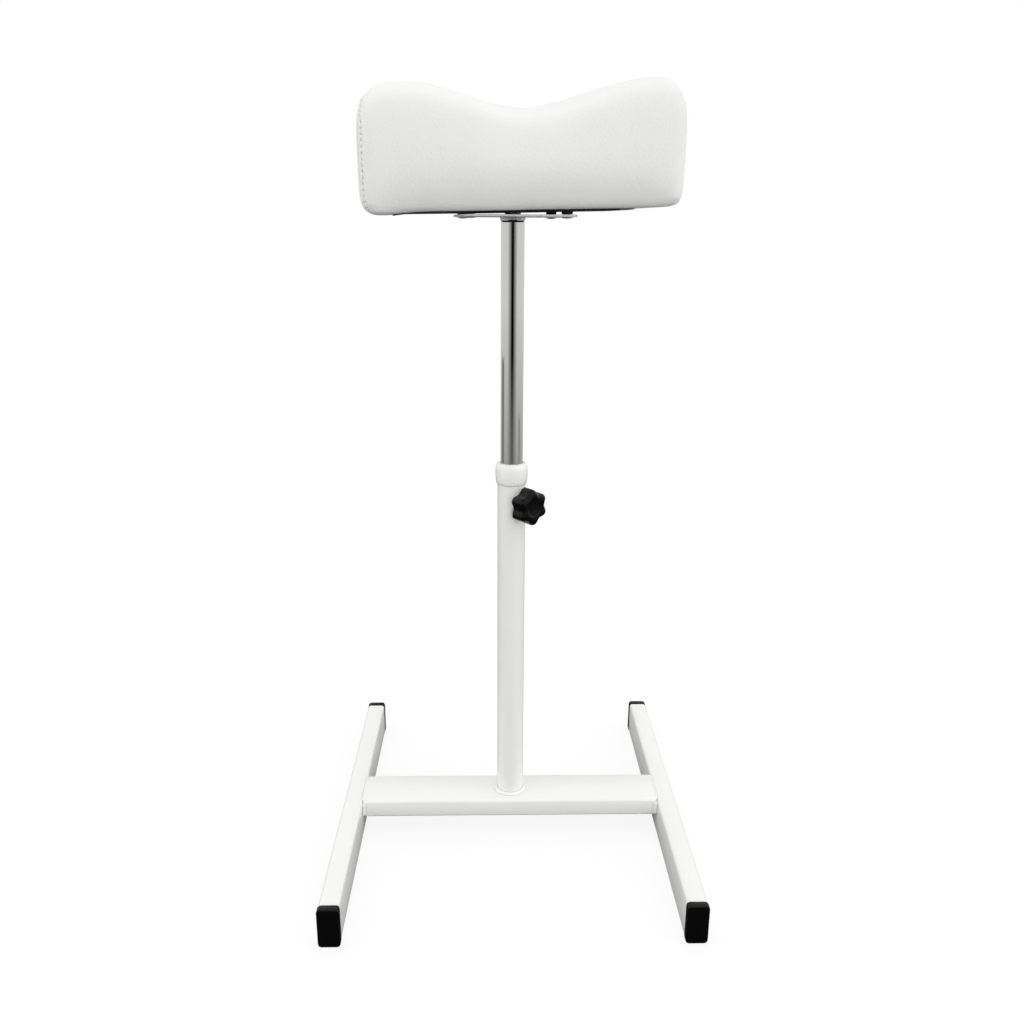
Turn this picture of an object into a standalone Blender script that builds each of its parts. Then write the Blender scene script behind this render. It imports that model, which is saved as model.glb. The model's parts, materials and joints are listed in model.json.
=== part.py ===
"""Pedicure footrest: an H-shaped steel base, a telescopic column with a clamp knob, and a saddle cushion.

Metres, +Z up. The column stands on the origin's axis, the floor is z = 0 and the front faces -Y.
"""
import math

import bmesh
import bpy
from mathutils import Matrix

# Clearances
SEAT_GAP = 0.0003  # between pieces that rest on each other
RUNNING_GAP = 0.0003  # round pieces that slide, turn or plug in

# Runners
RUNNER_LENGTH = 0.374
RUNNER_WIDTH = 0.020
RUNNER_HEIGHT = 0.040
RUNNER_WALL = 0.0015
RUNNER_CORNER = 0.003
BASE_WIDTH = 0.360  # over the runners' outer sides

# End caps
CAP_LIP = 0.0005  # overhang of the head round the tube, which the base stands on
CAP_HEAD = 0.008
CAP_EDGE = 0.0012
CAP_PLUG_LENGTH = 0.014
CAP_PLUG_WALL = 0.0018
CAP_RIB_COUNT = 3
CAP_RIB_WIDTH = 0.0014
CAP_RIB_HEIGHT = 0.0007

# Crossbar
CROSSBAR_DEPTH = 0.050
CROSSBAR_HEIGHT = 0.020
CROSSBAR_WALL = 0.0015
CROSSBAR_CORNER = 0.003
CORNER_WELD_LEG = 0.004

# Column
COLUMN_DIAMETER = 0.028
COLUMN_WALL = 0.0012
COLUMN_LENGTH = 0.3495
COLUMN_WELD_LEG = 0.003

# Guide collar
COLLAR_HEIGHT = 0.020
COLLAR_DIAMETER = 0.032
COLLAR_FOOT_DIAMETER = 0.0286
COLLAR_EDGE = 0.0044
COLLAR_FOOT_ROUND = 0.0075  # height of the belly's fall to the foot
SLEEVE_LENGTH = 0.0455

# Clamp, measured outward from the column's axis
CLAMP_DROP = 0.0183  # from the column's top end to the screw's axis
CLAMP_TURN = math.radians(40)  # from the front towards the right
BOSS_HEIGHT = 0.006
BOSS_DIAMETER = 0.018
SCREW_DIAMETER = 0.008
SCREW_IN_KNOB = 0.010
SCREW_TIP_DIAMETER = 0.004
SCREW_TIP_LENGTH = 0.0018
SHOE_DIAMETER = 0.0094
SHOE_LENGTH = 0.003  # along its axis, from the mast to the screw
SHOE_TRAVEL = 0.001875  # one and a half turns of an M8 screw

# Star knob
KNOB_STANDOFF = 0.0008  # between the boss and the tightened knob's hub
KNOB_DIAMETER = 0.037
KNOB_LOBES = 6
KNOB_SCALLOP = 0.0036  # depth of the hollows between the lobes
KNOB_THICKNESS = 0.0135
KNOB_EDGE = 0.0022
KNOB_HUB_DIAMETER = 0.015
KNOB_HUB_LENGTH = 0.0015
KNOB_RECESS_DIAMETER = 0.017
KNOB_RECESS_DEPTH = 0.0008
KNOB_TURN = math.radians(96)  # of the first lobe, as photographed

# Mast
MAST_DIAMETER = 0.022
MAST_WALL = 0.0012
MAST_LENGTH = 0.3555
MAST_EXPOSED = 0.230  # between the collar and the mast's top end, as photographed
STOP_BEAD_HEIGHT = 0.003  # rolled bead that keeps the mast from leaving the sleeve
STOP_BEAD_RISE = 0.0009
GUIDE_RING_HEIGHT = 0.018
END_PLUG_FLANGE = 0.003
END_PLUG_FLANGE_DIAMETER = 0.024
END_PLUG_SPIGOT = 0.015
INSERT_FLANGE = 0.0012
INSERT_SPIGOT = 0.020
HEAD_TURN = math.radians(6)  # swivel of the head, as photographed

# Top plate
PLATE_WIDTH = 0.104
PLATE_THICKNESS = 0.002
PLATE_CORNER = 0.008
PLATE_BOSS_DIAMETER = 0.0236
PLATE_BOSS_HEIGHT = 0.0022
CENTRE_BOLT_DIAMETER = 0.008
CENTRE_BOLT_FLATS = 0.013
CENTRE_BOLT_SIDES = 6
CENTRE_BOLT_HEAD = 0.0053
CENTRE_BOLT_LENGTH = 0.020
CENTRE_BOLT_POCKET = 0.020  # diameter of the hole over the bolt's head

# Cushion fixings
FIXING_SPACING = 0.086
PLATE_SCREW_DIAMETER = 0.006
PLATE_SCREW_HEAD_DIAMETER = 0.011
PLATE_SCREW_HEAD_HEIGHT = 0.0011
SPACER_DIAMETER = 0.010
TEE_NUT_FLANGE_DIAMETER = 0.016
TEE_NUT_FLANGE = 0.0012
TEE_NUT_BARREL_DIAMETER = 0.008
TEE_NUT_BARREL = 0.006
UNDERSIDE_GAP = 0.0027  # from the plate to the dust cover

# Cushion
CUSHION_WIDTH = 0.284
CUSHION_DEPTH = 0.150
LOBE_HEIGHT = 0.106
DIP_HEIGHT = 0.080
LOBE_SPACING = 0.216  # between the crests of the two lobes
SHOULDER_DROP = 0.020  # fall of the top from a crest to the side
CROWN = 0.003
DRAW_IN = 0.003  # how far the panels' edges are drawn in by the seams
SIDE_ROUND = 0.013
FRONT_ROUND = 0.020
FOOT_ROUND = 0.009
COVER_THICKNESS = 0.0012
COVER_OPENING_WIDTH = 0.200
FOAM_GAP = 0.0004
BOARD_THICKNESS = 0.009
BOARD_MARGIN = 0.013  # from the cushion's sides to the board's edges
BOARD_CORNER = 0.012
DUST_COVER_WIDTH = 0.214
DUST_COVER_DEPTH = 0.118
DUST_COVER_THICKNESS = 0.0005
DUST_COVER_CORNER = 0.012

# Facets
ROUND_STEPS = 40
SMALL_STEPS = 16
CORNER_STEPS = 3
SWEEP_STEPS = 4
LOBE_STEPS = 8
EDGE_STEPS = 1
SMOOTHING_LOSS = 1 / 6  # share of a cage's second difference that smoothing takes away
WELD_DISTANCE = 0.000001
SHARP_ANGLE = math.radians(35)

# Levels and radii worked out from the dimensions above
RUNNER_TOP = CAP_LIP + RUNNER_HEIGHT
RUNNER_X = (BASE_WIDTH - RUNNER_WIDTH) / 2
RUNNER_INNER_X = BASE_WIDTH / 2 - RUNNER_WIDTH
COLUMN_RADIUS = COLUMN_DIAMETER / 2
COLUMN_BORE = COLUMN_RADIUS - COLUMN_WALL
COLUMN_FOOT = RUNNER_TOP + SEAT_GAP
COLUMN_TOP = COLUMN_FOOT + COLUMN_LENGTH
COLLAR_SEAT = COLUMN_TOP + SEAT_GAP
COLLAR_TOP = COLLAR_SEAT + COLLAR_HEIGHT
CLAMP_Z = COLUMN_TOP - CLAMP_DROP
MAST_RADIUS = MAST_DIAMETER / 2
MAST_BORE = MAST_RADIUS - MAST_WALL
MAST_TOP = COLLAR_TOP + MAST_EXPOSED
MAST_FOOT = MAST_TOP - MAST_LENGTH
SCREW_BORE = SCREW_DIAMETER / 2 + RUNNING_GAP
SHOE_BORE = SHOE_DIAMETER / 2 + RUNNING_GAP
INSERT_TOP = MAST_TOP + SEAT_GAP + INSERT_FLANGE
PLATE_BOSS_TOP = INSERT_TOP + SEAT_GAP + PLATE_BOSS_HEIGHT
PLATE_FOOT = PLATE_BOSS_TOP + SEAT_GAP
PLATE_TOP = PLATE_FOOT + PLATE_THICKNESS
DUST_COVER_FOOT = PLATE_TOP + UNDERSIDE_GAP
CUSHION_FOOT = DUST_COVER_FOOT + DUST_COVER_THICKNESS + SEAT_GAP
BOARD_FOOT = CUSHION_FOOT + COVER_THICKNESS + SEAT_GAP
BOARD_TOP = BOARD_FOOT + BOARD_THICKNESS
FIXING_BORE = PLATE_SCREW_DIAMETER / 2 + RUNNING_GAP
CENTRE_BORE = CENTRE_BOLT_DIAMETER / 2 + RUNNING_GAP


def new_collection(name):
    group = bpy.data.collections.new(name)
    bpy.context.scene.collection.children.link(group)
    return group


for leftover in list(bpy.data.objects):
    bpy.data.objects.remove(leftover)
PARTS = new_collection("pedicure_footrest")


def finish(name, colour, roughness, metallic=0.0):
    """A Principled material with the photographed colour of a piece."""
    paint = bpy.data.materials.new(name)
    paint.use_nodes = True
    shader = paint.node_tree.nodes["Principled BSDF"]
    shader.inputs["Base Color"].default_value = (*colour, 1.0)
    shader.inputs["Roughness"].default_value = roughness
    shader.inputs["Metallic"].default_value = metallic
    return paint


POWDER_COAT = finish("white_powder_coat", (0.86, 0.86, 0.85), 0.35)
WHITE_PLASTIC = finish("white_plastic", (0.84, 0.84, 0.83), 0.3)
BLACK_PLASTIC = finish("black_plastic", (0.012, 0.012, 0.013), 0.35)
NYLON = finish("natural_nylon", (0.7, 0.69, 0.64), 0.5)
CHROME = finish("chrome_plate", (0.8, 0.8, 0.81), 0.08, 1.0)
ZINC = finish("zinc_plate", (0.6, 0.6, 0.61), 0.3, 1.0)
RUBBER = finish("black_rubber", (0.015, 0.015, 0.015), 0.8)
PLYWOOD = finish("plywood", (0.5, 0.34, 0.18), 0.7)
FOAM = finish("foam", (0.8, 0.74, 0.5), 0.95)
LEATHERETTE = finish("white_leatherette", (0.86, 0.86, 0.86), 0.45)
DUST_CLOTH = finish("black_cloth", (0.01, 0.01, 0.01), 0.95)


def arc(centre_x, centre_y, radius, start, end, steps):
    """Points on a circle from one angle to another, both ends included."""
    angles = [start + (end - start) * step / steps for step in range(steps + 1)]
    return [(centre_x + radius * math.cos(a), centre_y + radius * math.sin(a)) for a in angles]


def circle(radius, centre_x=0.0, centre_y=0.0, steps=SMALL_STEPS):
    return arc(centre_x, centre_y, radius, 0, math.tau, steps)[:-1]


def rounded_rectangle(width, height, corner):
    """A centred rectangle with round corners."""
    outline = []
    for quarter, (side_x, side_y) in enumerate(((1, 1), (-1, 1), (-1, -1), (1, -1))):
        centre_x = side_x * (width / 2 - corner)
        centre_y = side_y * (height / 2 - corner)
        start = quarter * math.pi / 2
        outline += arc(centre_x, centre_y, corner, start, start + math.pi / 2, CORNER_STEPS)
    return outline


def finished_mesh(source):
    """The welded mesh of an object's curve or modifiers, smooth on its round faces. The object goes."""
    bpy.context.view_layer.update()
    evaluated = source.evaluated_get(bpy.context.evaluated_depsgraph_get())
    mesh = bpy.data.meshes.new_from_object(evaluated)
    mesh.name = source.name
    bpy.data.objects.remove(source)
    shape = bmesh.new()
    shape.from_mesh(mesh)
    bmesh.ops.remove_doubles(shape, verts=shape.verts, dist=WELD_DISTANCE)
    shape.to_mesh(mesh)
    shape.free()
    mesh.shade_smooth()
    mesh.set_sharp_from_angle(angle=SHARP_ANGLE)
    return mesh


def linked(name, data):
    source = bpy.data.objects.new(name, data)
    PARTS.objects.link(source)
    return source


def extruded(name, loops, thickness, edge=0.0):
    """An outline, less the loops inside it, extruded to both sides of the XY plane, with round edges."""
    curve = bpy.data.curves.new(name, "CURVE")
    curve.dimensions = "2D"
    curve.fill_mode = "BOTH"
    curve.extrude = thickness / 2 - edge
    curve.bevel_depth = edge
    curve.bevel_resolution = EDGE_STEPS
    curve.offset = -edge
    for loop in loops:
        spline = curve.splines.new("POLY")
        spline.points.add(len(loop) - 1)
        for point, (x, y) in zip(spline.points, loop):
            point.co = (x, y, 0.0, 1.0)
        spline.use_cyclic_u = True
    return finished_mesh(linked(name, curve))


def turned(name, profile, steps=ROUND_STEPS):
    """A profile of radius and height, down its outer side, turned about Z. Off the axis it is a closed ring."""
    mesh = bpy.data.meshes.new(name)
    edges = [(i, i + 1) for i in range(len(profile) - 1)]
    if profile[0][0] > 0:
        edges.append((len(profile) - 1, 0))
    mesh.from_pydata([(radius, 0.0, height) for radius, height in profile], edges, [])
    source = linked(name, mesh)
    screw = source.modifiers.new("Turn", "SCREW")
    screw.steps = steps
    screw.render_steps = steps
    screw.use_merge_vertices = True
    screw.merge_threshold = WELD_DISTANCE
    return finished_mesh(source)


def cylinder(name, radius, foot, top, steps=SMALL_STEPS):
    return turned(name, [(0.0, top), (radius, top), (radius, foot), (0.0, foot)], steps)


def combined(name, body, joined=(), cut=()):
    """A body with other meshes joined to it and others cut out of it, as one mesh."""
    source = linked(name, body)
    tools = []
    for operation, meshes in (("UNION", joined), ("DIFFERENCE", cut)):
        for mesh in meshes:
            tools.append(linked(name + "_tool", mesh))
            boolean = source.modifiers.new(operation.title(), "BOOLEAN")
            boolean.operation = operation
            boolean.object = tools[-1]
    mesh = finished_mesh(source)
    for tool in tools:
        bpy.data.objects.remove(tool)
    return mesh


def moved(mesh, x=0.0, y=0.0, z=0.0):
    mesh.transform(Matrix.Translation((x, y, z)))
    return mesh


def add_part(name, mesh, paint, location=(0.0, 0.0, 0.0), rotation=(0.0, 0.0, 0.0), parent=None):
    piece = linked(name, mesh)
    if not mesh.materials:
        mesh.materials.append(paint)
    piece.location = location
    piece.rotation_euler = rotation
    piece.parent = parent
    return piece


def add_axis(name, location, rotation):
    axis = linked(name, None)
    axis.location = location
    axis.rotation_euler = rotation
    return axis


CLAMP_AXIS = add_axis("clamp_axis", (0.0, 0.0, CLAMP_Z), (math.pi / 2, 0.0, CLAMP_TURN))
HEAD_AXIS = add_axis("head_axis", (0.0, 0.0, 0.0), (0.0, 0.0, HEAD_TURN))


def along_column(mesh):
    """A mesh turned about Z, laid along the column as the clamp's axis sees it."""
    mesh.transform(Matrix.Rotation(math.pi / 2, 4, "X"))
    return mesh


def along_clamp(mesh):
    """A mesh turned about Z, laid along the clamp's axis as the column sees it."""
    mesh.transform(CLAMP_AXIS.rotation_euler.to_matrix().to_4x4())
    return mesh


def tube_loops(width, height, corner, wall):
    inner_corner = max(corner - wall, wall / 2)
    return [
        rounded_rectangle(width, height, corner),
        rounded_rectangle(width - 2 * wall, height - 2 * wall, inner_corner),
    ]


# Base: runners, crossbar and welds
def add_runners():
    loops = tube_loops(RUNNER_WIDTH, RUNNER_HEIGHT, RUNNER_CORNER, RUNNER_WALL)
    mesh = extruded("runner", loops, RUNNER_LENGTH)
    for side, name in ((-1, "left_runner"), (1, "right_runner")):
        location = (side * RUNNER_X, 0.0, CAP_LIP + RUNNER_HEIGHT / 2)
        add_part(name, mesh, POWDER_COAT, location, (math.pi / 2, 0.0, 0.0))


def add_end_caps():
    """Caps with a rounded head and a hollow, ribbed plug. In the mesh, +Z points out of the tube."""
    head_outline = rounded_rectangle(
        RUNNER_WIDTH + 2 * CAP_LIP, RUNNER_HEIGHT + 2 * CAP_LIP, RUNNER_CORNER + CAP_LIP)
    head = moved(extruded("cap_head", [head_outline], CAP_HEAD, CAP_EDGE), z=CAP_HEAD / 2)
    rib_width = RUNNER_WIDTH - 2 * RUNNER_WALL - 2 * RUNNING_GAP
    rib_height = RUNNER_HEIGHT - 2 * RUNNER_WALL - 2 * RUNNING_GAP
    rib_corner = max(RUNNER_CORNER - RUNNER_WALL, RUNNER_WALL / 2)
    plug_loops = tube_loops(
        rib_width - 2 * CAP_RIB_HEIGHT, rib_height - 2 * CAP_RIB_HEIGHT, rib_corner, CAP_PLUG_WALL)
    sunk = CAP_HEAD / 2
    plug = moved(extruded("cap_plug", plug_loops, CAP_PLUG_LENGTH + sunk), z=(sunk - CAP_PLUG_LENGTH) / 2)
    rib_loops = [
        rounded_rectangle(rib_width, rib_height, rib_corner),
        rounded_rectangle(
            rib_width - CAP_PLUG_WALL - 2 * CAP_RIB_HEIGHT,
            rib_height - CAP_PLUG_WALL - 2 * CAP_RIB_HEIGHT,
            rib_corner),
    ]
    pitch = CAP_PLUG_LENGTH / (CAP_RIB_COUNT + 1)
    ribs = []
    for step in range(CAP_RIB_COUNT):
        ribs.append(moved(extruded("cap_rib", rib_loops, CAP_RIB_WIDTH), z=-pitch * (step + 1)))
    mesh = combined("end_cap", head, joined=[plug] + ribs)
    for end, end_name in ((-1, "front"), (1, "rear")):
        for side, side_name in ((-1, "left"), (1, "right")):
            location = (side * RUNNER_X, end * (RUNNER_LENGTH / 2 + SEAT_GAP), CAP_LIP + RUNNER_HEIGHT / 2)
            turn = 0.0 if end < 0 else math.pi
            add_part(f"cap_{end_name}_{side_name}", mesh, BLACK_PLASTIC, location, (math.pi / 2, 0.0, turn))


def add_crossbar():
    length = 2 * (RUNNER_INNER_X - SEAT_GAP)
    loops = tube_loops(CROSSBAR_DEPTH, CROSSBAR_HEIGHT, CROSSBAR_CORNER, CROSSBAR_WALL)
    location = (0.0, 0.0, RUNNER_TOP - CROSSBAR_HEIGHT / 2)
    mesh = extruded("crossbar", loops, length)
    add_part("crossbar", mesh, POWDER_COAT, location, (math.pi / 2, 0.0, math.pi / 2))


def add_corner_welds():
    """Fillets in the four upright corners between the crossbar and the runners."""
    bead = [(0.0, 0.0)] + arc(0.0, 0.0, CORNER_WELD_LEG, 0.0, math.pi / 2, SWEEP_STEPS)
    mesh = extruded("corner_weld", [bead], CROSSBAR_HEIGHT - 2 * CROSSBAR_CORNER)
    corners = (
        ("weld_rear_left", -1, 1, 0.0),
        ("weld_rear_right", 1, 1, math.pi / 2),
        ("weld_front_right", 1, -1, math.pi),
        ("weld_front_left", -1, -1, -math.pi / 2),
    )
    for name, side, end, turn in corners:
        x = side * (RUNNER_INNER_X - SEAT_GAP)
        y = end * (CROSSBAR_DEPTH / 2 + SEAT_GAP)
        add_part(name, mesh, POWDER_COAT, (x, y, RUNNER_TOP - CROSSBAR_HEIGHT / 2), (0.0, 0.0, turn))


# Column: tube, weld ring, collar and clamp boss
def add_column():
    profile = [
        (COLUMN_RADIUS, COLUMN_LENGTH),
        (COLUMN_RADIUS, 0.0),
        (COLUMN_BORE, 0.0),
        (COLUMN_BORE, COLUMN_LENGTH),
    ]
    shoe_hole = along_clamp(cylinder("shoe_hole", SHOE_BORE, MAST_RADIUS, COLUMN_DIAMETER))
    moved(shoe_hole, z=CLAMP_Z - COLUMN_FOOT)
    mesh = combined("column_tube", turned("column_tube", profile), cut=[shoe_hole])
    add_part("column_tube", mesh, POWDER_COAT, (0.0, 0.0, COLUMN_FOOT))
    inside = COLUMN_RADIUS + SEAT_GAP
    bead = arc(inside, 0.0, COLUMN_WELD_LEG, math.pi / 2, 0.0, SWEEP_STEPS) + [(inside, 0.0)]
    add_part("column_weld", turned("column_weld", bead), POWDER_COAT, (0.0, 0.0, COLUMN_FOOT))


def add_collar():
    """A bush whose barrel-shaped head sits on the column and whose sleeve lines it. z = 0 at the seat."""
    bore = MAST_RADIUS + RUNNING_GAP
    sleeve = COLUMN_BORE - RUNNING_GAP
    radius = COLLAR_DIAMETER / 2
    foot = COLLAR_FOOT_DIAMETER / 2
    shoulder = COLLAR_HEIGHT - COLLAR_EDGE
    profile = [(bore, COLLAR_HEIGHT)]
    profile += arc(radius - COLLAR_EDGE, shoulder, COLLAR_EDGE, math.pi / 2, 0.0, SWEEP_STEPS)
    for step in range(SWEEP_STEPS + 1):
        turn = step / SWEEP_STEPS * math.pi / 2
        level = COLLAR_FOOT_ROUND * (1 - math.sin(turn))
        profile.append((foot + (radius - foot) * math.cos(turn), level))
    profile += [(sleeve, 0.0), (sleeve, -SLEEVE_LENGTH), (bore, -SLEEVE_LENGTH)]
    shoe_hole = along_clamp(cylinder("sleeve_hole", SHOE_BORE, MAST_RADIUS / 2, COLUMN_DIAMETER))
    moved(shoe_hole, z=CLAMP_Z - COLLAR_SEAT)
    mesh = combined("guide_collar", turned("guide_collar", profile), cut=[shoe_hole])
    add_part("guide_collar", mesh, WHITE_PLASTIC, (0.0, 0.0, COLLAR_SEAT))


def add_clamp():
    """Boss, shoe, screw and knob along the clamp's axis. z = 0 at the column's axis."""
    boss_end = COLUMN_RADIUS + BOSS_HEIGHT
    shoe_seat = MAST_RADIUS + SEAT_GAP
    shoe_end = shoe_seat + SHOE_LENGTH
    pocket_end = shoe_end + SHOE_TRAVEL + RUNNING_GAP
    boss_radius = BOSS_DIAMETER / 2
    boss_profile = [
        (boss_radius, boss_end),
        (boss_radius, MAST_RADIUS),
        (SHOE_BORE, MAST_RADIUS),
        (SHOE_BORE, pocket_end),
        (SCREW_BORE, pocket_end),
        (SCREW_BORE, boss_end),
    ]
    column = along_column(
        cylinder("boss_seat", COLUMN_RADIUS + SEAT_GAP, -COLUMN_DIAMETER, COLUMN_DIAMETER, ROUND_STEPS))
    boss = combined("clamp_boss", turned("clamp_boss", boss_profile), cut=[column])
    add_part("clamp_boss", boss, POWDER_COAT, parent=CLAMP_AXIS)

    tip_radius = SCREW_TIP_DIAMETER / 2
    tip_bore = tip_radius + RUNNING_GAP
    tip_end = shoe_end + SEAT_GAP - SCREW_TIP_LENGTH
    shoe_profile = [
        (0.0, tip_end - SEAT_GAP),
        (tip_bore, tip_end - SEAT_GAP),
        (tip_bore, shoe_end),
        (SHOE_DIAMETER / 2, shoe_end),
        (SHOE_DIAMETER / 2, MAST_RADIUS / 2),
        (0.0, MAST_RADIUS / 2),
    ]
    mast = along_column(cylinder("shoe_seat", shoe_seat, -MAST_DIAMETER, MAST_DIAMETER, ROUND_STEPS))
    shoe = combined("clamp_shoe", turned("clamp_shoe", shoe_profile, SMALL_STEPS), cut=[mast])
    add_part("clamp_shoe", shoe, NYLON, parent=CLAMP_AXIS)

    hub_foot = boss_end + KNOB_STANDOFF
    screw_end = hub_foot + SCREW_IN_KNOB
    screw_profile = [
        (0.0, screw_end),
        (SCREW_DIAMETER / 2, screw_end),
        (SCREW_DIAMETER / 2, shoe_end + SEAT_GAP),
        (tip_radius, shoe_end + SEAT_GAP),
        (tip_radius, tip_end),
        (0.0, tip_end),
    ]
    add_part("clamp_screw", turned("clamp_screw", screw_profile, SMALL_STEPS), ZINC, parent=CLAMP_AXIS)
    add_part("star_knob", star_knob(hub_foot, screw_end + SEAT_GAP), BLACK_PLASTIC, parent=CLAMP_AXIS)


def star_knob(hub_foot, socket_end):
    """Six round lobes with scallops between, a hub behind, a socket for the screw and a dished face."""
    mean = (KNOB_DIAMETER - KNOB_SCALLOP) / 2
    outline = []
    for step in range(KNOB_LOBES * LOBE_STEPS):
        angle = math.tau * step / (KNOB_LOBES * LOBE_STEPS)
        radius = mean + KNOB_SCALLOP / 2 * math.cos(KNOB_LOBES * (angle - KNOB_TURN))
        outline.append((radius * math.cos(angle), radius * math.sin(angle)))
    body_foot = hub_foot + KNOB_HUB_LENGTH
    face = body_foot + KNOB_THICKNESS
    body = moved(extruded("star_knob", [outline], KNOB_THICKNESS, KNOB_EDGE), z=(body_foot + face) / 2)
    hub = cylinder("knob_hub", KNOB_HUB_DIAMETER / 2, hub_foot, (body_foot + face) / 2, ROUND_STEPS)
    socket = cylinder("knob_socket", SCREW_BORE, hub_foot - KNOB_HUB_LENGTH, socket_end)
    dish_floor = face - KNOB_RECESS_DEPTH
    dish = cylinder("knob_dish", KNOB_RECESS_DIAMETER / 2, dish_floor, face + KNOB_EDGE, ROUND_STEPS)
    return combined("star_knob", body, joined=[hub], cut=[socket, dish])


# Mast: tube, guide ring, plug and insert
def add_mast():
    """z = 0 at the mast's lower end, which stands on the plug's flange inside the guide ring."""
    bead_foot = GUIDE_RING_HEIGHT + SEAT_GAP
    profile = [(MAST_RADIUS, MAST_LENGTH)]
    for step in range(SWEEP_STEPS + 1):
        share = 1 - step / SWEEP_STEPS
        swell = STOP_BEAD_RISE * math.sin(share * math.pi)
        profile.append((MAST_RADIUS + swell, bead_foot + share * STOP_BEAD_HEIGHT))
    profile += [(MAST_RADIUS, 0.0), (MAST_BORE, 0.0), (MAST_BORE, MAST_LENGTH)]
    add_part("mast_tube", turned("mast_tube", profile), CHROME, (0.0, 0.0, MAST_FOOT), parent=HEAD_AXIS)

    ring_outer = COLUMN_BORE - RUNNING_GAP
    ring_inner = MAST_RADIUS + RUNNING_GAP
    ring_profile = [
        (ring_outer, GUIDE_RING_HEIGHT),
        (ring_outer, 0.0),
        (ring_inner, 0.0),
        (ring_inner, GUIDE_RING_HEIGHT),
    ]
    add_part("guide_ring", turned("guide_ring", ring_profile), WHITE_PLASTIC, (0.0, 0.0, MAST_FOOT))

    spigot = MAST_BORE - RUNNING_GAP
    flange_radius = END_PLUG_FLANGE_DIAMETER / 2
    plug_profile = [
        (0.0, END_PLUG_SPIGOT),
        (spigot, END_PLUG_SPIGOT),
        (spigot, -SEAT_GAP),
        (flange_radius, -SEAT_GAP),
        (flange_radius, -SEAT_GAP - END_PLUG_FLANGE),
        (0.0, -SEAT_GAP - END_PLUG_FLANGE),
    ]
    plug = turned("mast_end_plug", plug_profile)
    add_part("mast_end_plug", plug, BLACK_PLASTIC, (0.0, 0.0, MAST_FOOT), parent=HEAD_AXIS)

    insert_profile = [
        (MAST_RADIUS, INSERT_FLANGE),
        (MAST_RADIUS, 0.0),
        (spigot, 0.0),
        (spigot, -INSERT_SPIGOT),
        (CENTRE_BORE, -INSERT_SPIGOT),
        (CENTRE_BORE, INSERT_FLANGE),
    ]
    insert = turned("mast_insert", insert_profile)
    add_part("mast_insert", insert, BLACK_PLASTIC, (0.0, 0.0, MAST_TOP + SEAT_GAP), parent=HEAD_AXIS)


# Plate and the cushion's fixings
def fixing_points():
    """The four screws' names and places, as seen from above."""
    reach = FIXING_SPACING / 2
    for end, end_name in ((-1, "front"), (1, "rear")):
        for side, side_name in ((-1, "left"), (1, "right")):
            yield f"{end_name}_{side_name}", side * reach, end * reach


def fixing_holes(radius):
    return [circle(radius, x, y) for name, x, y in fixing_points()]


def add_plate():
    boss_radius = PLATE_BOSS_DIAMETER / 2
    boss_profile = [
        (boss_radius, 0.0),
        (boss_radius, -PLATE_BOSS_HEIGHT),
        (CENTRE_BORE, -PLATE_BOSS_HEIGHT),
        (CENTRE_BORE, 0.0),
    ]
    boss = turned("plate_boss", boss_profile)
    add_part("plate_boss", boss, ZINC, (0.0, 0.0, PLATE_BOSS_TOP), parent=HEAD_AXIS)
    outline = rounded_rectangle(PLATE_WIDTH, PLATE_WIDTH, PLATE_CORNER)
    plate = extruded("top_plate", [outline, circle(CENTRE_BORE)] + fixing_holes(FIXING_BORE), PLATE_THICKNESS)
    add_part("top_plate", plate, ZINC, (0.0, 0.0, (PLATE_FOOT + PLATE_TOP) / 2), parent=HEAD_AXIS)

    head_radius = CENTRE_BOLT_FLATS / 2 / math.cos(math.pi / CENTRE_BOLT_SIDES)
    shank = cylinder("bolt_shank", CENTRE_BOLT_DIAMETER / 2, -CENTRE_BOLT_LENGTH, CENTRE_BOLT_HEAD / 2)
    head = cylinder("centre_bolt", head_radius, 0.0, CENTRE_BOLT_HEAD, CENTRE_BOLT_SIDES)
    bolt = combined("centre_bolt", head, joined=[shank])
    add_part("centre_bolt", bolt, ZINC, (0.0, 0.0, PLATE_TOP + SEAT_GAP), parent=HEAD_AXIS)


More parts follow.
